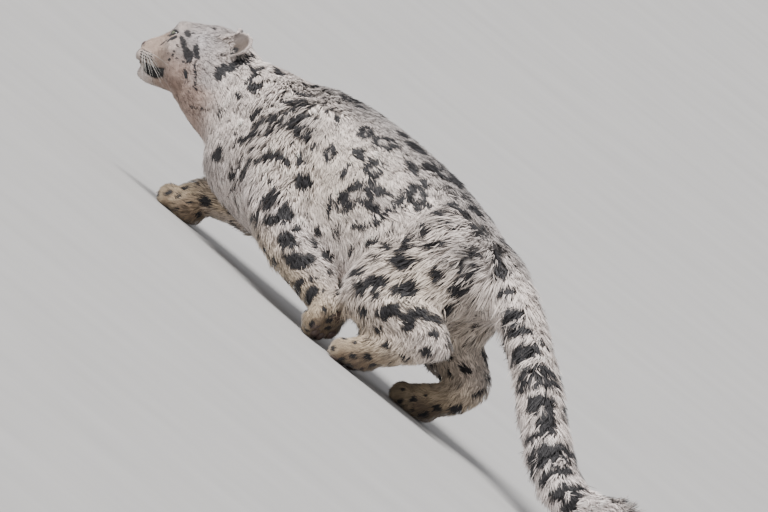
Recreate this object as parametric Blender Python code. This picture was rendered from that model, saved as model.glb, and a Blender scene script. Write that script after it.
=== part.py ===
# Snow leopard, life size, walking low with its head turned a little to its left.
# Metres, +Z up. The animal faces -Y and its left side is +X.
# The outer surface is that of the winter coat, out to the tips of the fur.
import math

import bmesh
import bpy
from mathutils import Matrix, Vector

# Driving dimensions of the animal
BACK_HEIGHT = 0.436
CHEST_HALF_WIDTH = 0.128
BELLY_HALF_WIDTH = 0.138
RUMP_HALF_WIDTH = 0.122
TAIL_RADIUS = 0.052
PAW_HALF_WIDTH = 0.046
HEAD_YAW = math.radians(24)
HEAD_PITCH = math.radians(20)
NOSE_TIP = Vector((0.070, -0.944, 0.229))
EYE_RADIUS = 0.0125
EYE_PLACE = (0.0345, 0.0665, 0.0380)
EYE_FACING = (0.58, -0.74, 0.34)
SOCKET_RADIUS = 0.026
SOCKET_LEVEL = 0.0060
NOSE_RADII = (0.0165, 0.0100, 0.0120)
NOSE_PLACE = (0.0, 0.0060, -0.0010)
EAR_LENGTH = 0.066
EAR_HALF_WIDTH = 0.029
EAR_THICKNESS = 0.006
EAR_PLACE = (0.0660, 0.177, 0.044)
EAR_ROOT = 0.030
EAR_CUP = 0.55
EAR_WRAP = math.radians(100)
EAR_ROUND_FROM = 0.40
# From root to tip, and from the lower edge to the upper, in the head's axes for each side.
# The left ear is turned back and to the side, the right one up and forward.
EAR_ALONG = {1: (0.22, 0.88, 0.42), -1: (-0.60, -0.30, 0.74)}
EAR_ACROSS = {1: (-0.479, -0.278, 0.832), -1: (0.792, -0.102, 0.601)}
FLOOR_SINK = 0.001

# Mesh sizes
VOXEL = 0.0048
BODY_TRIANGLES = 4450
GAP = 0.0004
CUT_NUDGE = 0.0002
CUTTER_REACH = 0.30
CUTTER_MARGIN = 0.01
RING = 24
# Share of the fine mesh that is kept in each region
DETAIL_FACE = 0.75
DETAIL_HEAD = 0.25
DETAIL_FEET = 0.45
DETAIL_TAIL_AND_LEGS = 0.15
DETAIL_TRUNK = 0.08

# Colours as linear RGB
PALE_FUR = (0.62, 0.58, 0.51)
GREY_FUR = (0.52, 0.49, 0.45)
WARM_FUR = (0.45, 0.36, 0.25)
EAR_FUR = (0.20, 0.17, 0.15)
EYE_GREEN = (0.25, 0.30, 0.20)
NOSE_SKIN = (0.12, 0.06, 0.05)


def clear_scene():
    for item in list(bpy.data.objects):
        bpy.data.objects.remove(item, do_unlink=True)


def material(name, colour, roughness):
    made = bpy.data.materials.new(name)
    made.use_nodes = True
    shader = made.node_tree.nodes["Principled BSDF"]
    shader.inputs["Base Color"].default_value = (*colour, 1.0)
    shader.inputs["Roughness"].default_value = roughness
    shader.inputs["Metallic"].default_value = 0.0
    return made


def catmull(a, b, c, d, t):
    """One point of the smooth curve from b to c."""
    return 0.5 * (
        2 * b
        + (c - a) * t
        + (2 * a - 5 * b + 4 * c - d) * t * t
        + (3 * b - a - 3 * c + d) * t * t * t
    )


def smooth_rows(rows, steps):
    """Rows of numbers, filled in smoothly between the given ones."""
    vectors = [Vector(row) for row in rows]
    padded = [2 * vectors[0] - vectors[1], *vectors, 2 * vectors[-1] - vectors[-2]]
    filled = []
    for i in range(1, len(padded) - 2):
        for k in range(steps):
            filled.append(catmull(padded[i - 1], padded[i], padded[i + 1], padded[i + 2], k / steps))
    filled.append(vectors[-1])
    return filled


def skin_rings(bm, loops):
    """Side faces between rings of vertices, and a face on each end."""
    for a, b in zip(loops, loops[1:]):
        for k in range(RING):
            n = (k + 1) % RING
            bm.faces.new((a[k], a[n], b[n], b[k]))
    bm.faces.new(list(reversed(loops[0])))
    bm.faces.new(loops[-1])


def tube(bm, stations, pear=0.0, steps=4):
    """A closed limb with round ends through stations of (x, y, z, half width, half height)."""
    rows = smooth_rows(stations, steps)
    centres = [Vector(row[:3]) for row in rows]
    last = len(rows) - 1
    rings = []
    for i, row in enumerate(rows):
        tangent = (centres[min(i + 1, last)] - centres[max(i - 1, 0)]).normalized()
        side = Vector((1, 0, 0))
        side = (side - tangent * side.dot(tangent)).normalized()
        up = side.cross(tangent).normalized()
        rings.append((centres[i], side, up, row[3], row[4], tangent))
    for end, out in ((rings[0], -1), (rings[-1], 1)):
        centre, side, up, wide, high, tangent = end
        for k in (1, 2, 3, 4):
            turn = k / 4 * math.radians(86)
            reach = min(wide, high) * math.sin(turn) * out
            shrink = math.cos(turn)
            ring = (centre + tangent * reach, side, up, wide * shrink, high * shrink, tangent)
            if out < 0:
                rings.insert(0, ring)
            else:
                rings.append(ring)
    loops = []
    for centre, side, up, wide, high, _ in rings:
        loop = []
        for k in range(RING):
            angle = 2 * math.pi * k / RING
            across = wide * math.cos(angle) * (1 - pear * math.sin(angle))
            loop.append(bm.verts.new(centre + side * across + up * (high * math.sin(angle))))
        loops.append(loop)
    skin_rings(bm, loops)


def blob(bm, centre, radii, tilt=(0.0, 0.0, 0.0)):
    """An ellipsoid of muscle or fur, turned by three angles in degrees."""
    turn = Matrix.Rotation(math.radians(tilt[2]), 4, "Z")
    turn = turn @ Matrix.Rotation(math.radians(tilt[1]), 4, "Y")
    turn = turn @ Matrix.Rotation(math.radians(tilt[0]), 4, "X")
    place = Matrix.Translation(centre) @ turn @ Matrix.Diagonal((*radii, 1.0))
    bmesh.ops.create_uvsphere(bm, u_segments=24, v_segments=14, radius=1.0, matrix=place)


def join_into(bm, part):
    mesh = bpy.data.meshes.new("joined")
    part.to_mesh(mesh)
    part.free()
    bm.from_mesh(mesh)
    bpy.data.meshes.remove(mesh)


def add_trunk(bm):
    # y, top, bottom, half width
    profile = (
        (-0.665, 0.366, 0.140, 0.080),
        (-0.600, 0.388, 0.088, 0.108),
        (-0.500, 0.416, 0.075, CHEST_HALF_WIDTH),
        (-0.380, BACK_HEIGHT - 0.002, 0.092, 0.134),
        (-0.250, BACK_HEIGHT, 0.102, BELLY_HALF_WIDTH),
        (-0.120, 0.430, 0.112, 0.132),
        (-0.010, 0.416, 0.165, RUMP_HALF_WIDTH),
        (0.060, 0.390, 0.220, 0.092),
    )
    stations = [(0, y, (t + b) / 2, w, (t - b) / 2) for y, t, b, w in profile]
    tube(bm, stations, pear=0.10)


def add_neck(bm):
    tube(
        bm,
        (
            (0.000, -0.520, 0.275, 0.112, 0.122),
            (0.000, -0.600, 0.268, 0.106, 0.120),
            (0.000, -0.670, 0.262, 0.098, 0.112),
            (0.006, -0.740, 0.259, 0.090, 0.100),
            (0.022, -0.800, 0.264, 0.080, 0.086),
        ),
    )


def add_paw(bm, x, y, yaw, nod=0.0, lift=0.0):
    """A broad furry paw with four toes. A nod tips its toes down."""
    turn = Matrix.Rotation(math.radians(yaw), 4, "Z") @ Matrix.Rotation(math.radians(nod), 4, "X")
    place = Matrix.Translation((x, y, lift - FLOOR_SINK)) @ turn
    part = bmesh.new()
    wide = PAW_HALF_WIDTH
    blob(part, (0, 0.006, 0.031), (wide, 0.050, 0.035))
    for across, ahead, toe in ((-0.72, -0.024, 0.0165), (-0.26, -0.039, 0.0185),
                               (0.26, -0.039, 0.0185), (0.72, -0.024, 0.0165)):
        blob(part, (across * wide, ahead, 0.0225), (toe, 0.027, 0.0265), (0, 0, across * -12))
    bmesh.ops.transform(part, matrix=place, verts=part.verts)
    join_into(bm, part)


def add_forelegs(bm):
    # The left foreleg trails behind and stands on the tips of its toes, sole to the back
    blob(bm, (0.070, -0.470, 0.275), (0.065, 0.110, 0.128), (-30, 0, 0))
    tube(
        bm,
        (
            (0.070, -0.500, 0.290, 0.062, 0.095),
            (0.090, -0.440, 0.205, 0.062, 0.082),
            (0.106, -0.350, 0.130, 0.050, 0.062),
            (0.108, -0.260, 0.104, 0.043, 0.050),
            (0.104, -0.190, 0.089, 0.039, 0.044),
            (0.101, -0.150, 0.076, 0.040, 0.038),
            (0.100, -0.128, 0.068, 0.038, 0.034),
        ),
    )
    add_paw(bm, 0.100, -0.095, 3, nod=72, lift=0.056)
    # The right foreleg reaches ahead, its paw flat
    blob(bm, (-0.070, -0.490, 0.275), (0.065, 0.108, 0.125), (-10, 0, 0))
    tube(
        bm,
        (
            (-0.070, -0.510, 0.290, 0.062, 0.095),
            (-0.092, -0.515, 0.195, 0.062, 0.082),
            (-0.106, -0.550, 0.128, 0.050, 0.062),
            (-0.100, -0.625, 0.102, 0.043, 0.050),
            (-0.090, -0.685, 0.080, 0.040, 0.046),
            (-0.084, -0.715, 0.054, 0.041, 0.041),
        ),
    )
    add_paw(bm, -0.082, -0.728, 0)


def add_hind_leg(bm, thigh, knee_end, shank, foot):
    blob(bm, *thigh)
    tube(bm, knee_end)
    tube(bm, shank)
    tube(bm, foot)


def add_hindlegs(bm):
    # Left hind foot is under the hip, just behind the left fore paw
    add_hind_leg(
        bm,
        ((0.066, 0.000, 0.275), (0.072, 0.112, 0.135), (12, 0, 0)),
        (
            (0.062, 0.010, 0.300, 0.068, 0.100),
            (0.088, -0.045, 0.205, 0.066, 0.100),
            (0.110, -0.068, 0.142, 0.052, 0.072),
        ),
        (
            (0.112, -0.072, 0.140, 0.052, 0.060),
            (0.112, 0.000, 0.148, 0.051, 0.068),
            (0.111, 0.070, 0.160, 0.044, 0.056),
            (0.109, 0.120, 0.162, 0.038, 0.044),
            (0.108, 0.155, 0.155, 0.032, 0.035),
        ),
        (
            (0.108, 0.164, 0.156, 0.029, 0.029),
            (0.107, 0.120, 0.124, 0.034, 0.034),
            (0.105, 0.065, 0.090, 0.037, 0.036),
            (0.102, 0.018, 0.060, 0.040, 0.036),
        ),
    )
    add_paw(bm, 0.101, 0.012, 3, nod=20, lift=0.013)
    # Right hind foot is a little further back
    add_hind_leg(
        bm,
        ((-0.066, 0.005, 0.268), (0.072, 0.105, 0.128), (5, 0, 0)),
        (
            (-0.062, 0.020, 0.295, 0.068, 0.100),
            (-0.088, -0.030, 0.205, 0.066, 0.092),
            (-0.108, -0.045, 0.150, 0.052, 0.068),
        ),
        (
            (-0.110, -0.052, 0.150, 0.051, 0.058),
            (-0.108, 0.020, 0.152, 0.050, 0.064),
            (-0.102, 0.085, 0.144, 0.042, 0.052),
            (-0.097, 0.132, 0.128, 0.034, 0.036),
        ),
        (
            (-0.097, 0.144, 0.124, 0.029, 0.029),
            (-0.096, 0.120, 0.092, 0.034, 0.034),
            (-0.094, 0.085, 0.062, 0.037, 0.036),
            (-0.092, 0.058, 0.046, 0.040, 0.034),
        ),
    )
    add_paw(bm, -0.091, 0.044, -3)


def add_tail(bm):
    tube(
        bm,
        (
            (0.000, -0.020, 0.335, 0.066, 0.066),
            (0.002, 0.070, 0.336, 0.058, 0.060),
            (0.012, 0.150, 0.318, 0.051, 0.054),
            (0.030, 0.250, 0.280, TAIL_RADIUS, TAIL_RADIUS),
            (0.052, 0.360, 0.226, TAIL_RADIUS, TAIL_RADIUS),
            (0.075, 0.470, 0.164, TAIL_RADIUS, TAIL_RADIUS),
            (0.098, 0.580, 0.112, 0.050, 0.050),
            (0.118, 0.675, 0.092, 0.047, 0.047),
            (0.135, 0.745, 0.108, 0.042, 0.042),
            (0.145, 0.800, 0.150, 0.027, 0.027),
        ),
    )


def head_matrix():
    """From the head's own axes (left, back, up from the nose tip) to the world."""
    cp, sp = math.cos(HEAD_PITCH), math.sin(HEAD_PITCH)
    cy, sy = math.cos(HEAD_YAW), math.sin(HEAD_YAW)
    forward = Vector((sy * cp, -cy * cp, -sp))
    left = Vector((cy, sy, 0))
    up = forward.cross(left)
    turn = Matrix((left, -forward, up)).transposed().to_4x4()
    return Matrix.Translation(NOSE_TIP) @ turn


def head_loft(bm):
    """The head's own form, in rings from the nose back, each with its own height and width."""
    # back, top, bottom, half width, height of the widest place
    rows = (
        (-0.001, 0.006, -0.020, 0.013, -0.006),
        (0.007, 0.016, -0.030, 0.029, -0.012),
        (0.021, 0.026, -0.039, 0.038, -0.017),
        (0.040, 0.035, -0.045, 0.043, -0.016),
        (0.053, 0.051, -0.052, 0.051, -0.006),
        (0.062, 0.070, -0.060, 0.060, 0.004),
        (0.085, 0.077, -0.067, 0.069, 0.004),
        (0.110, 0.081, -0.071, 0.076, 0.000),
        (0.140, 0.087, -0.074, 0.081, -0.004),
        (0.170, 0.086, -0.075, 0.081, -0.006),
        (0.200, 0.077, -0.075, 0.078, -0.004),
        (0.235, 0.062, -0.072, 0.070, 0.000),
    )
    loops = []
    for back, top, bottom, wide, level in smooth_rows(rows, 3):
        loop = []
        for k in range(RING):
            angle = -2 * math.pi * k / RING
            rise = math.sin(angle)
            height = level + rise * ((top - level) if rise > 0 else (level - bottom))
            loop.append(bm.verts.new((wide * math.cos(angle), back, height)))
        loops.append(loop)
    skin_rings(bm, loops)


def add_head(bm):
    part = bmesh.new()
    head_loft(part)
    for side in (-1, 1):
        # Whisker pad, cheek, and the brow over the eye
        blob(part, (side * 0.0225, 0.020, -0.021), (0.023, 0.025, 0.019))
        blob(part, (side * 0.048, 0.125, -0.028), (0.036, 0.062, 0.048), (0, 0, side * -8))
        blob(part, (side * 0.029, 0.074, 0.060), (0.019, 0.017, 0.013), (20, 0, 0))
    # Chin and lower jaw, then the bridge and the end of the nose
    tube(
        part,
        (
            (0, 0.018, -0.053, 0.017, 0.015),
            (0, 0.034, -0.053, 0.024, 0.019),
            (0, 0.060, -0.051, 0.031, 0.021),
            (0, 0.095, -0.050, 0.038, 0.024),
        ),
    )
    tube(
        part,
        (
            (0, 0.011, 0.003, 0.017, 0.012),
            (0, 0.030, 0.015, 0.019, 0.013),
            (0, 0.052, 0.032, 0.023, 0.016),
            (0, 0.076, 0.054, 0.027, 0.018),
        ),
    )
    bmesh.ops.transform(part, matrix=head_matrix(), verts=part.verts)
    join_into(bm, part)


def ear_mesh(side):
    """A round cupped ear, open to the side, in the head's own axes."""
    bm = bmesh.new()
    rows, columns = 8, 9
    base = Vector((side * EAR_PLACE[0], EAR_PLACE[1], EAR_PLACE[2]))
    axis = Vector(EAR_ALONG[side]).normalized()
    across = Vector(EAR_ACROSS[side])
    across = (across - axis * across.dot(axis)).normalized()
    opening = axis.cross(across) * side
    base = base - axis * EAR_ROOT
    layers = []
    for inner in (0, 1):
        grid = []
        for i in range(rows):
            along = i / (rows - 1)
            reach = (EAR_LENGTH + EAR_ROOT) * (along * 0.95 + 0.02 if inner else along)
            shown = max(along * (1 + EAR_ROOT / EAR_LENGTH) - EAR_ROOT / EAR_LENGTH, 0)
            round_tip = math.sqrt(max(1 - max(shown - EAR_ROUND_FROM, 0) ** 2 / 0.40, 0.02))
            width = EAR_HALF_WIDTH * round_tip * (0.88 + 0.12 * min(shown / EAR_ROUND_FROM, 1))
            width -= EAR_THICKNESS * 0.35 * inner
            line = []
            for k in range(columns):
                turn = EAR_WRAP * (2 * k / (columns - 1) - 1)
                cup = EAR_CUP * (1 - 0.50 * shown)
                x = width * math.sin(turn)
                y = -width * cup * math.cos(turn)
                point = base + axis * reach + across * x + opening * (y + EAR_THICKNESS * inner)
                line.append(bm.verts.new(point))
            grid.append(line)
        layers.append(grid)
    for layer, grid in enumerate(layers):
        for i in range(rows - 1):
            for k in range(columns - 1):
                quad = [grid[i][k], grid[i][k + 1], grid[i + 1][k + 1], grid[i + 1][k]]
                bm.faces.new(quad if layer == 0 else reversed(quad))
    edges = []
    for grid in layers:
        edge = [line[0] for line in grid] + grid[-1][1:]
        edge += [line[-1] for line in grid[-2::-1]] + grid[0][-2:0:-1]
        edges.append(edge)
    for k in range(len(edges[0])):
        n = (k + 1) % len(edges[0])
        bm.faces.new((edges[0][k], edges[0][n], edges[1][n], edges[1][k]))
    bmesh.ops.recalc_face_normals(bm, faces=bm.faces)
    bmesh.ops.transform(bm, matrix=head_matrix(), verts=bm.verts)
    return bm


def ball(place, radii):
    """An ellipsoid placed in the head's own axes."""
    bm = bmesh.new()
    matrix = head_matrix() @ Matrix.Translation(place) @ Matrix.Diagonal((*radii, 1.0))
    bmesh.ops.create_uvsphere(bm, u_segments=12, v_segments=7, radius=1.0, matrix=matrix)
    return bm


def new_object(name, bm):
    mesh = bpy.data.meshes.new(name)
    bm.to_mesh(mesh)
    bm.free()
    made = bpy.data.objects.new(name, mesh)
    bpy.context.scene.collection.objects.link(made)
    return made


def settle(item):
    """Applies an object's modifiers and leaves its mesh as the result."""
    graph = bpy.context.evaluated_depsgraph_get()
    graph.update()
    mesh = bpy.data.meshes.new_from_object(item.evaluated_get(graph))
    old = item.data
    item.modifiers.clear()
    item.data = mesh
    bpy.data.meshes.remove(old)
    return item


def remeshed(item, voxel):
    remesh = item.modifiers.new("one skin", "REMESH")
    remesh.mode = "VOXEL"
    remesh.voxel_size = voxel
    return settle(item)


def relax(item, steps, chosen):
    """Smooths the points that the given test picks."""
    bm = bmesh.new()
    bm.from_mesh(item.data)
    picked = [v for v in bm.verts if chosen(v.co)]
    for _ in range(steps):
        bmesh.ops.smooth_vert(bm, verts=picked, factor=0.5, use_axis_x=True, use_axis_y=True, use_axis_z=True)
    bm.to_mesh(item.data)
    bm.free()


def thinned(item, triangles, kept):
    """Fewer triangles, with most of them left where the given weight is high."""
    group = item.vertex_groups.new(name="keep")
    for vertex in item.data.vertices:
        group.add([vertex.index], kept(vertex.co), "REPLACE")
    total = sum(len(p.vertices) - 2 for p in item.data.polygons)
    thin = item.modifiers.new("thin", "DECIMATE")
    thin.ratio = triangles / total
    thin.vertex_group = "keep"
    thin.invert_vertex_group = True
    thin.vertex_group_factor = 1.0
    settle(item)
    item.vertex_groups.clear()
    return item


def combine(item, cutter, operation):
    """The item cut by another solid; the cutter is left as it was."""
    cut = item.modifiers.new("cut", "BOOLEAN")
    cut.operation = operation
    cut.solver = "EXACT"
    cut.object = cutter
    return settle(item)


def copy_of(item, name):
    made = item.copy()
    made.name = name
    made.data = item.data.copy()
    bpy.context.scene.collection.objects.link(made)
    return made


def press_sockets(item):
    """Flattens the skin in front of each eye, so that the eye shows."""
    turn = head_matrix()
    for side in (-1, 1):
        centre = turn @ Vector((side * EYE_PLACE[0], EYE_PLACE[1], EYE_PLACE[2]))
        facing = turn.to_3x3() @ Vector((side * EYE_FACING[0], EYE_FACING[1], EYE_FACING[2]))
        facing.normalize()
        for vertex in item.data.vertices:
            offset = vertex.co - centre
            depth = offset.dot(facing)
            spread = (offset - facing * depth).length / SOCKET_RADIUS
            if spread < 1 and 0 < depth < 2 * SOCKET_RADIUS:
                excess = depth - SOCKET_LEVEL - 0.010 * spread * spread
                if excess > 0:
                    vertex.co = vertex.co - facing * (excess * (1 - spread ** 4))


def largest(item):
    """Keeps the biggest piece, drops slivers, and tells whether it is closed."""
    for merge in (0.00005, 0.00002, 0.00001):
        bm = bmesh.new()
        bm.from_mesh(item.data)
        bmesh.ops.remove_doubles(bm, verts=bm.verts, dist=merge)
        bmesh.ops.dissolve_degenerate(bm, dist=merge, edges=bm.edges)
        if all(len(edge.link_faces) == 2 for edge in bm.edges):
            break
    left = set(bm.verts)
    pieces = []
    while left:
        stack = [left.pop()]
        piece = set(stack)
        while stack:
            for edge in stack.pop().link_edges:
                for vertex in edge.verts:
                    if vertex in left:
                        left.discard(vertex)
                        piece.add(vertex)
                        stack.append(vertex)
        pieces.append(piece)
    pieces.sort(key=len)
    for piece in pieces[:-1]:
        bmesh.ops.delete(bm, geom=list(piece), context="VERTS")
    bmesh.ops.triangulate(bm, faces=bm.faces)
    closed = all(len(edge.link_faces) == 2 for edge in bm.edges)
    bm.to_mesh(item.data)
    bm.free()
    return closed


def half(item, point, normal):
    """Keeps what lies ahead of a plane, and closes the cut."""
    whole = item.data
    for attempt in range(6):
        bm = bmesh.new()
        bm.from_mesh(whole)
        cut = bmesh.ops.bisect_plane(
            bm,
            geom=bm.verts[:] + bm.edges[:] + bm.faces[:],
            dist=0.00002,
            plane_co=point + normal * (attempt * CUT_NUDGE),
            plane_no=normal,
            clear_inner=True,
        )
        rim = [e for e in cut["geom_cut"] if isinstance(e, bmesh.types.BMEdge)]
        bmesh.ops.holes_fill(bm, edges=rim, sides=0)
        bmesh.ops.recalc_face_normals(bm, faces=bm.faces)
        item.data = bpy.data.meshes.new(item.name)
        bm.to_mesh(item.data)
        bm.free()
        if largest(item):
            break
    return item


def split(item, point, normal, ahead, behind):
    """Two named parts on either side of a plane, with the gap between them."""
    point = Vector(point)
    normal = Vector(normal).normalized()
    item.name = behind
    other = copy_of(item, ahead)
    half(other, point + normal * (GAP / 2), normal)
    half(item, point - normal * (GAP / 2), -normal)
    return other, item


def grown_outline(points, amount):
    """The outline moved outward by an amount in its own plane."""
    area = 0.0
    for k, (y, z, _) in enumerate(points):
        ahead = points[(k + 1) % len(points)]
        area += y * ahead[1] - ahead[0] * z
    sign = 1 if area > 0 else -1
    grown = []
    for k, (y, z, x) in enumerate(points):
        before = Vector(points[k - 1][:2])
        here = Vector((y, z))
        after = Vector(points[(k + 1) % len(points)][:2])
        a = (here - before).normalized()
        b = (after - here).normalized()
        out = (Vector((a.y, -a.x)) + Vector((b.y, -b.x))) * sign
        out = out / max(out.length_squared / 2, 0.4)
        grown.append((y + out.x * amount, z + out.y * amount, x - 2.5 * amount))
    return grown


def leg_cutter(side, points, grow=0.0):
    """A block seen from the side as the outline, from its own inner face outward."""
    bm = bmesh.new()
    inner = [bm.verts.new((side * x, y, z)) for y, z, x in points]
    outer = [bm.verts.new((side * CUTTER_REACH, y, z)) for y, z, _ in points]
    bm.faces.new(inner)
    bm.faces.new(outer)
    for k in range(len(points)):
        n = (k + 1) % len(points)
        bm.faces.new((inner[k], inner[n], outer[n], outer[k]))
    bmesh.ops.triangulate(bm, faces=bm.faces)
    bmesh.ops.recalc_face_normals(bm, faces=bm.faces)
    if grow:
        for near, far, (y, z, x) in zip(inner, outer, grown_outline(points, grow)):
            near.co = (side * x, y, z)
            far.co = (side * (CUTTER_REACH + CUTTER_MARGIN), y, z)
    return new_object("cutter", bm)


def take_leg(body, side, points):
    """Cuts one whole leg from the body and leaves the gap between them."""
    leg = copy_of(body, "leg")
    block = leg_cutter(side, points)
    combine(leg, block, "INTERSECT")
    largest(leg)
    wide_block = leg_cutter(side, points, GAP)
    combine(body, wide_block, "DIFFERENCE")
    largest(body)
    bpy.data.objects.remove(block)
    bpy.data.objects.remove(wide_block)
    return leg


def kept_detail(point):
    """How much of the fine mesh is kept at a place, from 0 to 1."""
    local = head_matrix().inverted() @ point
    if local.y < 0.205:
        return DETAIL_FACE if local.y < 0.09 else DETAIL_HEAD
    if point.z < 0.07 and point.y < 0.15:
        return DETAIL_FEET
    if point.y > 0.13 and point.x > 0 or point.z < 0.16:
        return DETAIL_TAIL_AND_LEGS
    return DETAIL_TRUNK


# Outlines of the legs from the side, and how far from the middle the cut lies:
# y, z, x of the cut
FORELEG_LEFT = (
    (-0.580, 0.260, 0.046),
    (-0.550, 0.330, 0.046),
    (-0.480, 0.350, 0.046),
    (-0.410, 0.310, 0.046),
    (-0.355, 0.220, 0.046),
    (-0.300, 0.165, 0.046),
    (-0.235, 0.150, 0.046),
    (-0.160, 0.128, 0.046),
    (-0.100, 0.112, 0.046),
    (-0.062, 0.085, 0.046),
    (-0.062, -0.030, 0.046),
    (-0.200, -0.030, 0.046),
    (-0.270, 0.035, 0.046),
    (-0.360, 0.040, 0.046),
    (-0.440, 0.085, 0.046),
    (-0.500, 0.120, 0.046),
    (-0.560, 0.180, 0.046),
)
FORELEG_RIGHT = (
    (-0.820, -0.030, 0.008),
    (-0.820, 0.140, 0.008),
    (-0.700, 0.150, 0.008),
    (-0.655, 0.155, 0.058),
    (-0.615, 0.210, 0.060),
    (-0.585, 0.300, 0.062),
    (-0.520, 0.345, 0.062),
    (-0.450, 0.330, 0.062),
    (-0.415, 0.240, 0.060),
    (-0.430, 0.140, 0.058),
    (-0.500, 0.085, 0.058),
    (-0.575, 0.050, 0.058),
    (-0.635, 0.020, 0.045),
    (-0.660, -0.030, 0.008),
)
HIND_LEG_LEFT = (
    (-0.115, 0.330, 0.062),
    (-0.050, 0.375, 0.062),
    (0.030, 0.365, 0.062),
    (0.085, 0.300, 0.062),
    (0.115, 0.220, 0.060),
    (0.200, 0.190, 0.050),
    (0.210, 0.100, 0.030),
    (0.160, 0.050, 0.030),
    (0.120, -0.030, 0.030),
    (-0.125, -0.030, 0.030),
    (-0.130, 0.060, 0.040),
    (-0.160, 0.115, 0.058),
    (-0.160, 0.200, 0.060),
    (-0.145, 0.270, 0.062),
)
HIND_LEG_RIGHT = (
    (-0.100, 0.330, 0.062),
    (-0.040, 0.375, 0.062),
    (0.035, 0.365, 0.062),
    (0.090, 0.300, 0.062),
    (0.120, 0.210, 0.058),
    (0.175, 0.175, 0.045),
    (0.190, 0.100, 0.030),
    (0.150, 0.050, 0.025),
    (0.125, -0.030, 0.025),
    (-0.070, -0.030, 0.025),
    (-0.100, 0.050, 0.030),
    (-0.140, 0.110, 0.055),
    (-0.145, 0.200, 0.060),
    (-0.130, 0.270, 0.062),
)


def cut_legs(body):
    """Twelve leg parts, each ending in a foot with its sole flat on the floor."""
    parts = []
    plans = (
        (1, FORELEG_LEFT, ("foreleg_left_upper", "foreleg_left_lower", "forepaw_left"),
         ((0, -0.345, 0.125), (0, 0.88, -0.47)), ((0, -0.160, 0.078), (0, 1.0, 0.0))),
        (-1, FORELEG_RIGHT, ("foreleg_right_upper", "foreleg_right_lower", "forepaw_right"),
         ((0, -0.555, 0.125), (0, -0.757, -0.653)), ((0, -0.710, 0.066), (0, -0.35, -0.94))),
        (1, HIND_LEG_LEFT, ("thigh_left", "shank_left", "hind_foot_left"),
         ((0, -0.040, 0.156), (0, 0.418, -0.908)), ((0, 0.065, 0.125), (0, 0.346, -0.938))),
        (-1, HIND_LEG_RIGHT, ("thigh_right", "shank_right", "hind_foot_right"),
         ((0, -0.010, 0.162), (0, 0.361, -0.932)), ((0, 0.085, 0.100), (0, 0.382, -0.924))),
    )
    for side, outline, names, joint, ankle in plans:
        leg = take_leg(body, side, outline)
        lower, upper = split(leg, *joint, names[1], names[0])
        foot, lower = split(lower, *ankle, names[2], names[1])
        half(foot, Vector((0, 0, 0)), Vector((0, 0, 1)))
        parts += [upper, lower, foot]
    return parts


def cut_body(body):
    """The head, neck, trunk and tail, in order from the front."""
    turn = head_matrix()
    occiput = turn @ Vector((0, 0.200, 0))
    back_of_head = turn.to_3x3() @ Vector((0, -1, 0.20))
    head, body = split(body, occiput, back_of_head, "head", "rest")
    neck, body = split(body, (0, -0.655, 0.270), (0, -0.963, 0.270), "neck", "rest")
    chest, body = split(body, (0, -0.280, 0.270), (0, -1, 0), "trunk_front", "rest")
    loins, body = split(body, (0, 0.122, 0.327), (0, -0.97, 0.24), "trunk_rear", "rest")
    root, body = split(body, (0.041, 0.305, 0.253), (-0.18, -0.87, 0.44), "tail_root", "rest")
    middle, body = split(body, (0.080, 0.500, 0.149), (-0.18, -0.88, 0.44), "tail_middle", "rest")
    lower, tip = split(body, (0.116, 0.668, 0.093), (-0.20, -0.97, 0.10), "tail_lower", "tail_tip")
    return head, [neck, chest, loins, root, middle, lower, tip]


def add_face(head, skin):
    """The eyes and the nose pad in their pockets, and the ears on the head."""
    parts = []
    for side, name in ((1, "eye_left"), (-1, "eye_right")):
        place = (side * EYE_PLACE[0], EYE_PLACE[1], EYE_PLACE[2])
        pocket = new_object("pocket", ball(place, [EYE_RADIUS + GAP] * 3))
        combine(head, pocket, "DIFFERENCE")
        bpy.data.objects.remove(pocket)
        parts.append(new_object(name, ball(place, [EYE_RADIUS] * 3)))
    pocket = new_object("pocket", ball(NOSE_PLACE, [r + GAP for r in NOSE_RADII]))
    combine(head, pocket, "DIFFERENCE")
    bpy.data.objects.remove(pocket)
    largest(head)
    parts.append(new_object("nose_pad", ball(NOSE_PLACE, NOSE_RADII)))
    for side, name in ((1, "ear_left"), (-1, "ear_right")):
        ear = new_object(name, ear_mesh(side))
        combine(ear, skin, "DIFFERENCE")
        largest(ear)
        parts.append(ear)
    return parts


def swollen(item, amount):
    """A copy of a skin with each point moved out along its normal."""
    made = copy_of(item, "swollen")
    normals = [v.normal.copy() for v in made.data.vertices]
    for vertex, normal in zip(made.data.vertices, normals):
        vertex.co = vertex.co + normal * amount
    return made


def finish(parts):
    """Colours, smooth shading, and the whole animal set over the middle of the floor."""
    pale = material("pale fur", PALE_FUR, 0.85)
    warm = material("warm fur", WARM_FUR, 0.85)
    grey = material("grey fur", GREY_FUR, 0.85)
    dark = material("ear fur", EAR_FUR, 0.85)
    eye = material("eye", EYE_GREEN, 0.12)
    nose = material("nose skin", NOSE_SKIN, 0.45)
    low = [1e9] * 3
    high = [-1e9] * 3
    for item in parts:
        for vertex in item.data.vertices:
            for k in range(3):
                low[k] = min(low[k], vertex.co[k])
                high[k] = max(high[k], vertex.co[k])
    centre = bpy.data.objects.new("snow_leopard", None)
    bpy.context.scene.collection.objects.link(centre)
    shift = Vector((-(low[0] + high[0]) / 2, -(low[1] + high[1]) / 2, 0))
    for item in parts:
        name = item.name
        kind = pale
        if "eye" in name:
            kind = eye
        elif "nose" in name:
            kind = nose
        elif "ear" in name:
            kind = dark
        elif "paw" in name or "foot" in name:
            kind = warm
        elif "trunk" in name or "tail" in name:
            kind = grey
        item.data.materials.clear()
        item.data.materials.append(kind)
        for face in item.data.polygons:
            face.use_smooth = True
        item.data.name = name
        item.parent = centre
        item.location = shift


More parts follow.
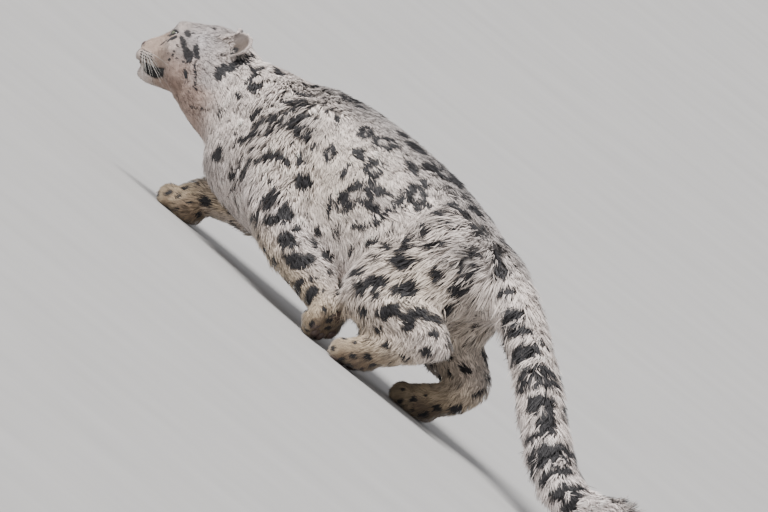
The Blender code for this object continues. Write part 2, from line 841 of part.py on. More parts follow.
def main():
    clear_scene()
    bm = bmesh.new()
    add_trunk(bm)
    add_neck(bm)
    add_forelegs(bm)
    add_hindlegs(bm)
    add_tail(bm)
    add_head(bm)
    body = remeshed(new_object("body", bm), VOXEL)
    to_head = head_matrix().inverted()
    relax(body, 40, lambda p: p.z > 0.16 and (to_head @ p).y > 0.215)
    relax(body, 18, lambda p: p.z > 0.075 and (to_head @ p).y > 0.200)
    relax(body, 3, lambda p: True)
    press_sockets(body)
    relax(body, 2, lambda p: True)
    thinned(body, BODY_TRIANGLES, kept_detail)
    largest(body)
    skin = swollen(body, GAP)
    parts = cut_legs(body)
    head, others = cut_body(body)
    parts += others + [head] + add_face(head, skin)
    bpy.data.objects.remove(skin)
    finish(parts)


main()
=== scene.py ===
import math

import bmesh
import bpy
import numpy as np
from mathutils import Matrix, Vector
from mathutils.bvhtree import BVHTree
from mathutils.kdtree import KDTree


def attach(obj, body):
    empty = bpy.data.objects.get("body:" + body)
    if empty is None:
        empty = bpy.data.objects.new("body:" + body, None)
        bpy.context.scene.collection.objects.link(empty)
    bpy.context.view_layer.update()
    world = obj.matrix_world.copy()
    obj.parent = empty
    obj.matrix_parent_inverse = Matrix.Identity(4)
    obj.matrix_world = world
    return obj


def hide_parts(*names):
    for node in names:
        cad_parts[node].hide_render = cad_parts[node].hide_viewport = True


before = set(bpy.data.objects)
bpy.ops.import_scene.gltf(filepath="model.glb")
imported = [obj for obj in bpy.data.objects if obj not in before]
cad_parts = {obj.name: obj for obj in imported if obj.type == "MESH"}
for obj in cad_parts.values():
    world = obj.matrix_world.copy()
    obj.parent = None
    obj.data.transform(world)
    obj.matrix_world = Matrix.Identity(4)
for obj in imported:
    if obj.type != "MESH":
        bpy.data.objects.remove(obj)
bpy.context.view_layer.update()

# Driving sizes that the part's own script uses too
HEAD_YAW = math.radians(24)
HEAD_PITCH = math.radians(20)
NOSE_TIP = np.array((0.070, -0.944, 0.229))
NOSE_PLACE = np.array((0.0, 0.0060, -0.0010))
NOSE_RADII = np.array((0.0165, 0.0100, 0.0120))
EYE_RADIUS = 0.0123
EYE_PLACE = (0.0345, 0.0665, 0.0380)
EYE_FACING = (0.58, -0.74, 0.34)
EYE_SUNK = 0.0018
EAR_PLACE = (0.0660, 0.177, 0.044)
EAR_LENGTH = 0.066
EAR_HALF_WIDTH = 0.029
EAR_ALONG = {1: (0.22, 0.88, 0.42), -1: (-0.60, -0.30, 0.74)}
EAR_ACROSS = {1: (-0.479, -0.278, 0.832), -1: (0.792, -0.102, 0.601)}

# How far packing moved the part, to stand over the middle of its own outline
SHIFT = np.array((-0.00746, 0.06268, 0.0))

# Camera, found by laying the part over the photograph
CAMERA_TURN = math.radians(38)
CAMERA_RISE = math.radians(3)
CAMERA_ROLL = math.radians(38)
CAMERA_DISTANCE = 60.0
PIXELS_PER_METRE = 500.0
PHOTO_SIZE = (768, 512)
REFERENCE_POINT = np.array((0.11, 0.0, 0.39))
REFERENCE_PIXEL = (464, 214)

# Mesh sizes
SKIN_VOXEL = 0.0026
SKIN_TRIANGLES = 110000
SWELL = 0.00035
PATCH = 0.003

# Lie of the coat. Each guide is a line that the fur follows, with the body's radius round it,
# then depth of the coat, length and width of a lock in millimetres, and locks per square cm.
# Guides off the middle of the trunk are used on both sides.
TRUNK_GUIDES = (
    ("neck", (0, -0.76, 0.345), (0, -0.60, 0.385), 0.0, 12, 30, 1.9, 11),
    ("neck", (0.085, -0.76, 0.285), (0.112, -0.60, 0.235), 0.0, 14, 32, 1.9, 11),
    ("neck", (0, -0.79, 0.185), (0, -0.62, 0.085), 0.0, 17, 42, 2.0, 10),
    ("chest", (0, -0.60, 0.085), (0, -0.44, 0.080), 0.0, 19, 48, 2.1, 9),
    ("chest", (0, -0.60, 0.385), (0, -0.28, 0.435), 0.0, 14, 32, 2.0, 11),
    ("chest", (0.105, -0.52, 0.36), (0.128, -0.28, 0.30), 0.0, 15, 34, 2.0, 11),
    ("loin", (0, -0.28, 0.435), (0, 0.06, 0.400), 0.0, 14, 34, 2.0, 11),
    ("loin", (0.125, -0.28, 0.32), (0.118, 0.02, 0.300), 0.0, 16, 38, 2.1, 10),
    ("loin", (0.128, -0.30, 0.21), (0.120, -0.10, 0.185), 0.0, 17, 42, 2.1, 10),
    ("loin", (0.05, -0.40, 0.095), (0.05, -0.05, 0.125), 0.0, 19, 50, 2.2, 9),
)
LIMB_GUIDES = (
    ("foreleg_left", (0.095, -0.53, 0.33), (0.118, -0.345, 0.125), 0.060, 14, 30, 1.9, 10),
    ("foreleg_left", (0.112, -0.345, 0.125), (0.101, -0.155, 0.078), 0.045, 8, 19, 1.5, 13),
    ("foreleg_left", (0.100, -0.150, 0.078), (0.100, -0.112, 0.012), 0.032, 3.5, 8, 1.0, 18),
    ("foreleg_right", (-0.095, -0.53, 0.33), (-0.105, -0.545, 0.130), 0.060, 14, 30, 1.9, 10),
    ("foreleg_right", (-0.104, -0.550, 0.128), (-0.086, -0.705, 0.064), 0.045, 8, 19, 1.5, 13),
    ("foreleg_right", (-0.084, -0.715, 0.060), (-0.082, -0.778, 0.002), 0.032, 3.5, 8, 1.0, 18),
    ("hindleg_left", (0.075, 0.06, 0.34), (0.110, -0.06, 0.150), 0.068, 15, 34, 2.0, 10),
    ("hindleg_left", (0.112, -0.065, 0.142), (0.108, 0.150, 0.156), 0.050, 9, 22, 1.6, 12),
    ("hindleg_left", (0.108, 0.160, 0.156), (0.102, 0.030, 0.060), 0.035, 7, 15, 1.4, 14),
    ("hindleg_left", (0.101, 0.020, 0.056), (0.101, -0.038, 0.002), 0.032, 3.5, 8, 1.0, 18),
    ("hindleg_right", (-0.075, 0.06, 0.33), (-0.108, -0.04, 0.150), 0.068, 15, 34, 2.0, 10),
    ("hindleg_right", (-0.110, -0.050, 0.150), (-0.097, 0.130, 0.130), 0.050, 9, 22, 1.6, 12),
    ("hindleg_right", (-0.097, 0.140, 0.124), (-0.092, 0.060, 0.046), 0.035, 7, 15, 1.4, 14),
    ("hindleg_right", (-0.092, 0.050, 0.054), (-0.091, -0.008, 0.002), 0.032, 3.5, 8, 1.0, 18),
)
TAIL_POINTS = (
    (0.002, 0.070, 0.336), (0.012, 0.150, 0.318), (0.030, 0.250, 0.280), (0.052, 0.360, 0.226),
    (0.075, 0.470, 0.164), (0.098, 0.580, 0.112), (0.118, 0.675, 0.092), (0.135, 0.745, 0.108),
    (0.145, 0.800, 0.150),
)
TAIL_COAT = (0.048, 17, 42, 2.1, 9)

# Colours as linear RGB
CREAM = np.array((0.77, 0.665, 0.575))
WARM = np.array((0.68, 0.565, 0.43))
GREY_WHITE = np.array((0.78, 0.690, 0.655))
SPINE_GREY = np.array((0.36, 0.335, 0.325))
TAN = np.array((0.46, 0.355, 0.225))
UNDERFOOT = np.array((0.17, 0.115, 0.075))
MUZZLE = np.array((0.44, 0.335, 0.275))
THROAT = np.array((0.47, 0.335, 0.275))
CHIN = np.array((0.80, 0.70, 0.65))
EAR_INSIDE = np.array((0.19, 0.15, 0.125))
BLACK = np.array((0.014, 0.013, 0.015))
LIP_BLACK = np.array((0.010, 0.009, 0.010))


def smoothstep(low, high, x):
    t = np.clip((x - low) / (high - low), 0.0, 1.0)
    return t * t * (3 - 2 * t)


def mix(a, b, t):
    t = np.asarray(t)[..., None]
    return a * (1 - t) + b * t


def unit(v):
    return v / np.maximum(np.linalg.norm(v, axis=-1, keepdims=True), 1e-12)


def hashed(cells):
    """Repeatable numbers from 0 to 1 for whole-number cells."""
    h = cells[:, 0] * 374761393 + cells[:, 1] * 668265263 + cells[:, 2] * 2147483647
    h = (h ^ (h >> 13)) * 1274126177
    h = (h ^ (h >> 16)) & 0xFFFFFF
    return h / float(0xFFFFFF)


def noise(points, size):
    """Smooth noise from -1 to 1, with features of about the given size."""
    p = points / size + 1000.0
    base = np.floor(p).astype(np.int64)
    f = p - base
    f = f * f * (3 - 2 * f)
    total = np.zeros(len(points))
    for dx in (0, 1):
        for dy in (0, 1):
            for dz in (0, 1):
                weight = (
                    (f[:, 0] if dx else 1 - f[:, 0])
                    * (f[:, 1] if dy else 1 - f[:, 1])
                    * (f[:, 2] if dz else 1 - f[:, 2])
                )
                total += weight * hashed(base + (dx, dy, dz))
    return total * 2 - 1


def head_axes():
    """Columns are the head's left, back and up, in the part's frame."""
    cp, sp = math.cos(HEAD_PITCH), math.sin(HEAD_PITCH)
    cy, sy = math.cos(HEAD_YAW), math.sin(HEAD_YAW)
    forward = np.array((sy * cp, -cy * cp, -sp))
    left = np.array((cy, sy, 0.0))
    up = np.cross(forward, left)
    return np.stack((left, -forward, up), axis=1)


UNDER_HEAD = -0.19
HEAD_AXES = head_axes()
NOSE_TIP_HERE = NOSE_TIP + SHIFT


def here(point):
    """A place from the part's own script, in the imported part's frame."""
    return np.asarray(point, float) + SHIFT


def to_head(points):
    return (points - NOSE_TIP_HERE) @ HEAD_AXES


def head_places(points):
    """Places in the head's axes, with the fore paw below the head put far behind it."""
    local = to_head(points)
    local[local[:, 2] < UNDER_HEAD, 1] = 1.0
    return local


def from_head(points):
    return np.asarray(points, float) @ HEAD_AXES.T + NOSE_TIP_HERE


def new_object(name, verts, faces):
    mesh = bpy.data.meshes.new(name)
    mesh.from_pydata([tuple(v) for v in verts], [], [tuple(f) for f in faces])
    mesh.update()
    made = bpy.data.objects.new(name, mesh)
    bpy.context.scene.collection.objects.link(made)
    return made


def settle(item):
    graph = bpy.context.evaluated_depsgraph_get()
    graph.update()
    mesh = bpy.data.meshes.new_from_object(item.evaluated_get(graph))
    old = item.data
    item.modifiers.clear()
    item.data = mesh
    bpy.data.meshes.remove(old)
    return item


def points_of(mesh):
    co = np.zeros(len(mesh.vertices) * 3, np.float32)
    mesh.vertices.foreach_get("co", co)
    return co.reshape(-1, 3).astype(float)


def set_points(mesh, points):
    mesh.vertices.foreach_set("co", points.astype(np.float32).ravel())
    mesh.update()


def triangles_of(mesh):
    mesh.calc_loop_triangles()
    found = np.zeros(len(mesh.loop_triangles) * 3, np.int32)
    mesh.loop_triangles.foreach_get("vertices", found)
    return found.reshape(-1, 3)


def edges_of(mesh):
    found = np.zeros(len(mesh.edges) * 2, np.int32)
    mesh.edges.foreach_get("vertices", found)
    return found.reshape(-1, 2)


def normals_of(points, triangles):
    a, b, c = (points[triangles[:, k]] for k in range(3))
    flat = np.cross(b - a, c - a)
    total = np.zeros_like(points)
    for k in range(3):
        for axis in range(3):
            total[:, axis] += np.bincount(triangles[:, k], flat[:, axis], len(points))
    return unit(total)


def spread(values, edges, steps, share=0.5):
    """Averages values over neighbours. The share may differ from point to point."""
    count = len(values)
    degree = np.bincount(edges[:, 0], minlength=count) + np.bincount(edges[:, 1], minlength=count)
    degree = np.maximum(degree, 1)
    flat = values.reshape(count, -1)
    share = np.broadcast_to(np.asarray(share, float).reshape(-1, 1), (count, 1))
    for _ in range(steps):
        around = np.empty_like(flat)
        for axis in range(flat.shape[1]):
            column = flat[:, axis]
            around[:, axis] = np.bincount(edges[:, 0], column[edges[:, 1]], count)
            around[:, axis] += np.bincount(edges[:, 1], column[edges[:, 0]], count)
        flat = flat + (around / degree[:, None] - flat) * share
    return flat.reshape(values.shape)


# The skin


def outer_skin():
    """All nodes as one closed mesh, which is the outline of the coat."""
    bm = bmesh.new()
    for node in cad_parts.values():
        part = bmesh.new()
        part.from_mesh(node.data)
        bmesh.ops.remove_doubles(part, verts=part.verts, dist=0.00001)
        part.normal_update()
        for vertex in part.verts:
            vertex.co = vertex.co + vertex.normal * SWELL
        mesh = bpy.data.meshes.new("part")
        part.to_mesh(mesh)
        part.free()
        bm.from_mesh(mesh)
        bpy.data.meshes.remove(mesh)
    mesh = bpy.data.meshes.new("skin")
    bm.to_mesh(mesh)
    bm.free()
    item = bpy.data.objects.new("skin", mesh)
    bpy.context.scene.collection.objects.link(item)
    remesh = item.modifiers.new("one skin", "REMESH")
    remesh.mode = "VOXEL"
    remesh.voxel_size = SKIN_VOXEL
    settle(item)
    keep_largest(item)
    return item


def keep_largest(item):
    """Drops any loose shell left inside."""
    mesh = item.data
    edges = edges_of(mesh)
    label = np.arange(len(mesh.vertices))
    while True:
        low = label.copy()
        np.minimum.at(low, edges[:, 0], label[edges[:, 1]])
        np.minimum.at(low, edges[:, 1], label[edges[:, 0]])
        low = low[low]
        if np.array_equal(low, label):
            break
        label = low
    names, counts = np.unique(label, return_counts=True)
    if len(names) == 1:
        return
    biggest = names[np.argmax(counts)]
    bm = bmesh.new()
    bm.from_mesh(mesh)
    bm.verts.ensure_lookup_table()
    loose = [bm.verts[i] for i in np.flatnonzero(label != biggest)]
    bmesh.ops.delete(bm, geom=loose, context="VERTS")
    bm.to_mesh(mesh)
    bm.free()


def softened(item):
    """Evens out the facets, least on the face, the ears and the paws."""
    mesh = item.data
    points = points_of(mesh)
    edges = edges_of(mesh)
    local = to_head(points)
    face = 1 - smoothstep(0.10, 0.21, local[:, 1])
    low = 1 - smoothstep(0.05, 0.09, points[:, 2])
    ear = near_ears(local)
    still = np.maximum.reduce((face, low, ear))
    points = spread(points, edges, 60, 0.5 * (1 - still) + 0.0)
    points = spread(points, edges, 5, 0.45 - 0.25 * low)
    set_points(mesh, points)


def near_ears(local):
    """1 on and right round the ears, 0 away from them."""
    found = np.zeros(len(local))
    for side in (-1, 1):
        centre = np.array((side * EAR_PLACE[0], EAR_PLACE[1], EAR_PLACE[2]))
        axis = unit(np.array(EAR_ALONG[side]))
        along = np.clip((local - centre) @ axis, 0.0, EAR_LENGTH)
        distance = np.linalg.norm(local - centre - along[:, None] * axis, axis=1)
        found = np.maximum(found, 1 - smoothstep(0.030, 0.042, distance))
    return found


def ear_frame(side):
    """The ear's own axes in the head: along, across, and the way it opens."""
    axis = unit(np.array(EAR_ALONG[side]))
    across = np.array(EAR_ACROSS[side])
    across = unit(across - axis * (across @ axis))
    return axis, across, np.cross(axis, across) * side


def guides():
    """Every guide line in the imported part's frame."""
    rows = []
    for name, a, b, radius, *coat in TRUNK_GUIDES:
        for side in ((1, -1) if a[0] else (1,)):
            flip = np.array((side, 1, 1))
            rows.append((name, here(np.array(a) * flip), here(np.array(b) * flip), radius, coat))
    for name, a, b, radius, *coat in LIMB_GUIDES:
        rows.append((name, here(a), here(b), radius, coat))
    for a, b in zip(TAIL_POINTS, TAIL_POINTS[1:]):
        rows.append(("tail", here(a), here(b), TAIL_COAT[0], TAIL_COAT[1:]))
    return rows


def to_line(points, a, b):
    """Distance from a line, and the share of the way along it."""
    along = np.clip(((points - a) @ (b - a)) / ((b - a) @ (b - a)), 0, 1)
    return np.linalg.norm(points - a - along[:, None] * (b - a), axis=1), along


def coat_fields(points, normals):
    """Lie, depth, length, width and number of the locks at each point, and the group it is in."""
    rows = guides()
    total = np.zeros(len(points))
    lie = np.zeros_like(points)
    coat = np.zeros((len(points), 4))
    best = np.full(len(points), -1.0)
    group = np.zeros(len(points), int)
    names = sorted({row[0] for row in rows}) + ["face", "crown", "ears"]
    for name, a, b, radius, sizes in rows:
        distance, _ = to_line(points, a, b)
        weight = 1.0 / (np.maximum(distance - radius, 0.0) + 0.012) ** 4
        lie += weight[:, None] * unit(b - a)
        coat += weight[:, None] * np.array(sizes, float)
        total += weight
        better = weight > best
        best[better] = weight[better]
        group[better] = names.index(name)
    lie = unit(lie)
    coat /= total[:, None]
    # The head has its own rules, which fade into the neck's
    local = head_places(points)
    away = ear_distance(local)
    ears = away < EAR_SKIN
    share = np.maximum(1 - smoothstep(0.175, 0.245, local[:, 1]), ears)
    head_lie, head_coat = head_fields(local)
    lie = unit(mix(lie, head_lie @ HEAD_AXES.T, share))
    coat = mix(coat, head_coat, share)
    # Shorter hair right round the ears leaves them clear
    coat[:, 1] *= 1 - 0.70 * smoothstep(0.022, 0.003, away) * ~ears
    crown = local[:, 1] < 0.205
    group[crown] = names.index("crown")
    group[crown & (local[:, 1] < 0.118)] = names.index("face")
    group[ears] = names.index("ears")
    # Long hair hangs a little
    droop = smoothstep(18, 40, coat[:, 1]) * 0.35
    into = np.abs(np.sum(lie * normals, axis=1))
    droop = np.maximum(droop, 0.9 * smoothstep(0.55, 0.95, into))
    droop[local[:, 1] < 0.15] = 0.0
    lie[:, 2] -= droop
    # On the fronts of the legs and the toes it runs down
    front = smoothstep(0.17, 0.12, points[:, 2]) * smoothstep(0.1, 0.6, -normals[:, 1]) * (local[:, 1] > 0.15)
    lie = mix(lie, np.array((0.0, -0.25, -1.0)), 0.85 * front)
    lie = unit(lie - normals * np.sum(lie * normals, axis=1)[:, None])
    return lie, coat, group, names


EAR_SKIN = 0.0032
EAR_TREES = {}


def ear_trees():
    """The outline of each ear as packed, in the head's axes."""
    if not EAR_TREES:
        for side, name in ((1, "ear_left"), (-1, "ear_right")):
            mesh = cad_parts[name].data
            places = [tuple(p) for p in to_head(points_of(mesh))]
            EAR_TREES[side] = BVHTree.FromPolygons(places, [tuple(t) for t in triangles_of(mesh)])
    return EAR_TREES


def ear_distance(local):
    """Distance from the outline of the nearer ear, where that is small."""
    distance = np.full(len(local), 0.1)
    near = near_ears(local) > 0
    for side, tree in ear_trees().items():
        for index in np.flatnonzero(near & (local[:, 0] * side > 0)):
            distance[index] = tree.find_nearest(Vector(local[index]))[3]
    return distance


def on_ears(local):
    return ear_distance(local) < EAR_SKIN


def head_fields(local):
    """Lie in the head's axes, and the coat there in millimetres."""
    x, y, z = local.T
    side = np.sign(x) * smoothstep(0.0, 0.02, np.abs(x))
    low = smoothstep(0.0, -0.05, z)
    cheek = smoothstep(0.03, 0.06, np.abs(x)) * smoothstep(0.07, 0.13, y) * smoothstep(0.05, 0.0, z)
    lie = np.stack((side * (0.20 + 0.35 * cheek), np.ones(len(x)), -0.25 * low - 0.35 * cheek), axis=1)
    # Round the nose the hair runs up and over, and on the lip down and out
    lip = smoothstep(0.050, 0.015, y) * smoothstep(-0.004, -0.018, z)
    lie += lip[:, None] * np.stack((side * 0.7, -0.2 * np.ones(len(x)), -0.5 * np.ones(len(x))), axis=1)
    length = np.interp(y, (0.0, 0.030, 0.060, 0.095, 0.140, 0.200, 0.245), (3.0, 4.0, 6.0, 9.0, 13.0, 21.0, 30.0))
    length *= 1 + 0.55 * cheek
    depth = length * 0.38
    width = np.interp(length, (3, 8, 14, 30), (0.75, 1.0, 1.25, 1.9))
    number = np.interp(length, (3, 6, 10, 20, 30), (95, 66, 46, 30, 20))
    # Shorter beside the eyes
    near = np.zeros(len(x))
    for s in (-1, 1):
        centre = np.array((s * EYE_PLACE[0], EYE_PLACE[1], EYE_PLACE[2]))
        near = np.maximum(near, smoothstep(0.030, 0.015, np.linalg.norm(local - centre, axis=1)))
    length *= 1 - 0.45 * near
    depth *= 1 - 0.45 * near
    ears = on_ears(local)
    depth[ears] = 0.6
    length[ears] = 4.0
    width[ears] = 0.7
    number[ears] = 60
    for s in (-1, 1):
        axis, across, _ = ear_frame(s)
        offset = local - np.array((s * EAR_PLACE[0], EAR_PLACE[1], EAR_PLACE[2]))
        fan = axis + across * np.clip((offset @ across) / 0.03, -1, 1)[:, None] * 0.8
        mine = ears & (x * s > 0)
        lie[mine] = fan[mine]
    return unit(lie), np.stack((depth, length, width, number), axis=1)


# Shaping the head


def eye_frame(side):
    """Centre of the eye in the head, the way it looks, outward along the lids, and up."""
    look = unit(np.array((side * EYE_FACING[0], EYE_FACING[1], EYE_FACING[2])))
    centre = np.array((side * EYE_PLACE[0], EYE_PLACE[1], EYE_PLACE[2])) - look * EYE_SUNK
    outward = np.cross(look, (0, 0, 1)) * -side
    outward = unit(outward)
    up = np.cross(outward, look) * -side
    up = up if up[2] > 0 else -up
    tilt = math.radians(17)
    slanted = outward * math.cos(tilt) + up * math.sin(tilt)
    upward = up * math.cos(tilt) - outward * math.sin(tilt)
    return centre, look, slanted, upward


LID_HALF = 0.0124
UPPER_LID = 0.0048
LOWER_LID = 0.0040


def lid_heights(along):
    """Height of the upper and lower lid over the slit's middle line."""
    t = np.clip(along / LID_HALF, -1, 1)
    bow = np.maximum(1 - t * t, 0)
    upper = UPPER_LID * bow ** 0.75 * (1 + 0.10 * t)
    lower = -LOWER_LID * bow ** 0.85 * (1 - 0.12 * t)
    return upper, lower


def outside_lids(along, up):
    """Distance outside the opening between the lids, less than 0 within it."""
    upper, lower = lid_heights(along)
    beyond = np.abs(along) - LID_HALF
    gap = np.maximum(up - upper, lower - up)
    return np.where(beyond > 0, np.hypot(beyond, np.maximum(np.abs(up) - 0.0003, 0)), gap)


def shape_eyes(local):
    for side in (-1, 1):
        centre, look, across, up = eye_frame(side)
        offset = local - centre
        ahead = offset @ look
        a, b = offset @ across, offset @ up
        radius = np.linalg.norm(offset, axis=1)
        near = (ahead > -0.004) & (np.hypot(a, b) < 0.030) & (radius < 0.040)
        out = outside_lids(a, b)
        direction = offset / np.maximum(radius, 1e-6)[:, None]
        hug = (1 - smoothstep(0.0010, 0.0085, out)) * near
        lid = EYE_RADIUS + 0.0015 + 0.10 * np.clip(out, 0, 0.012)
        wanted = lid * (1 - smoothstep(0.0003, -0.0005, out)) + (EYE_RADIUS - 0.0030) * smoothstep(0.0003, -0.0005, out)
        moved = radius + (wanted - radius) * hug
        crease = np.exp(-(((out - 0.0050) / 0.0013) ** 2)) * (b > 0) * near
        moved = moved - 0.0009 * crease
        local = np.where(near[:, None], centre + direction * moved[:, None], local)
        # Nothing of the skin cuts into the ball outside the opening
        radius = np.linalg.norm(local - centre, axis=1)
        cuts = near & (out > 0.0003) & (radius < EYE_RADIUS + 0.0010)
        local[cuts] = centre + unit(local[cuts] - centre) * (EYE_RADIUS + 0.0010)
    return local


def mouth_line(y):
    """Height of the mouth's line at a distance back from the nose."""
    return np.interp(y, (0.000, 0.012, 0.030, 0.050, 0.068), (-0.0330, -0.0335, -0.0345, -0.0350, -0.0330))


def shape_face(local, normals):
    """Folds of the muzzle: mouth, split of the lip, and dents beside the nose and the pads."""
    x, y, z = local.T
    away = np.abs(x)
    mouth = np.exp(-(((z - mouth_line(y)) / 0.0020) ** 2)) * (y < 0.075) * smoothstep(0.078, 0.066, y)
    mouth *= smoothstep(-0.2, 0.1, -normals[:, 1]) + smoothstep(0.2, 0.5, np.abs(normals[:, 0]))
    depth = 0.0030 * np.clip(mouth, 0, 1)
    split = np.exp(-((x / 0.0016) ** 2)) * (y < 0.02) * smoothstep(-0.006, -0.012, z) * smoothstep(-0.036, -0.030, z)
    depth += 0.0028 * split
    beside = np.exp(-((np.hypot(away - 0.0205, z + 0.004) / 0.0045) ** 2)) * (y < 0.02)
    depth += 0.0016 * beside
    pad_edge = np.exp(-(((y - 0.046) / 0.006) ** 2)) * smoothstep(0.0, -0.012, z) * (z > -0.034)
    depth += 0.0016 * pad_edge
    puff = np.exp(-(((y - 0.022) / 0.014) ** 2 + ((z + 0.019) / 0.011) ** 2)) * smoothstep(0.008, 0.02, away)
    depth -= 0.0022 * puff
    return local - normals * depth[:, None]


def shape_paws(points, normals):
    """Toes and the furrows between them."""
    for paw in PAWS:
        place = paw_matrix(paw)
        local = (points - np.array(place.translation)) @ np.array(place.to_3x3())
        x, y, z = local.T
        there = (np.abs(x) < 0.065) & (y > -0.085) & (y < 0.06) & (z > -0.012) & (z < 0.075)
        front = smoothstep(0.004, -0.020, y) * there
        furrow = np.zeros(len(points))
        for across in TOE_GAPS:
            furrow = np.maximum(furrow, np.exp(-(((x - across * PAW_HALF_WIDTH) / 0.0040) ** 2)))
        knuckle = np.zeros(len(points))
        for across, ahead in TOES:
            away = ((x - across * PAW_HALF_WIDTH) / 0.0085) ** 2 + ((y - ahead + 0.004) / 0.014) ** 2
            knuckle = np.maximum(knuckle, np.exp(-away))
        rise = TOE_BULGE * knuckle * smoothstep(0.010, 0.022, z) * there - TOE_FURROW * furrow * front
        points = points + normals * rise[:, None]
    return points


def refine(item, chosen, cuts=1):
    """Splits the triangles whose points are chosen."""
    bm = bmesh.new()
    bm.from_mesh(item.data)
    bm.verts.ensure_lookup_table()
    marks = chosen(points_of(item.data))
    edges = [e for e in bm.edges if marks[e.verts[0].index] and marks[e.verts[1].index]]
    bmesh.ops.subdivide_edges(bm, edges=edges, cuts=cuts, use_grid_fill=True)
    bmesh.ops.triangulate(bm, faces=bm.faces)
    bm.to_mesh(item.data)
    bm.free()


def thin_out(item, triangles):
    """Fewer triangles where less shows. Added roughness decides where they stay, and is taken off again."""
    mesh = item.data
    points = points_of(mesh)
    faces = triangles_of(mesh)
    normals = normals_of(points, faces)
    tree = BVHTree.FromPolygons([tuple(p) for p in points], [tuple(f) for f in faces])
    local = to_head(points)
    fine = np.maximum(1 - smoothstep(0.12, 0.20, local[:, 1]), near_ears(local))
    low = 1 - smoothstep(0.04, 0.09, points[:, 2])
    height = 0.00022 + 0.0010 * fine + 0.0003 * low
    rough = np.random.default_rng(3).normal(size=len(points))
    set_points(mesh, points + normals * (height * rough)[:, None])
    thin = item.modifiers.new("thin", "DECIMATE")
    thin.ratio = triangles / len(faces)
    settle(item)
    found = [tree.find_nearest(Vector(p))[0] for p in points_of(item.data)]
    set_points(item.data, np.array(found))


def make_skin():
    item = outer_skin()
    softened(item)
    thin_out(item, SKIN_TRIANGLES)
    refine(item, lambda p: to_head(p)[:, 1] < 0.085)
    refine(item, around_eyes)
    mesh = item.data
    points = points_of(mesh)
    edges = edges_of(mesh)
    triangles = triangles_of(mesh)
    normals = normals_of(points, triangles)
    smooth_normals = unit(spread(normals, edges, 3))
    lie, coat, _, _ = coat_fields(points, smooth_normals)
    depth = spread(coat[:, 0], edges, 4) / 1000
    points = points - smooth_normals * depth[:, None]
    points = shape_paws(points, smooth_normals)
    points[:, 2] = np.maximum(points[:, 2], 0.0006)
    local = to_head(points)
    front = local[:, 1] < 0.12
    local[front] = shape_face(local, smooth_normals @ HEAD_AXES)[front]
    local = shape_eyes(local)
    points = np.where(front[:, None], from_head(local), points)
    set_points(mesh, points)
    mesh.polygons.foreach_set("use_smooth", np.ones(len(mesh.polygons), bool))
    return item


def around_eyes(points):
    local = to_head(points)
    found = np.zeros(len(points), bool)
    for side in (-1, 1):
        centre, _, _, _ = eye_frame(side)
        found |= np.linalg.norm(local - centre, axis=1) < 0.024
    return found


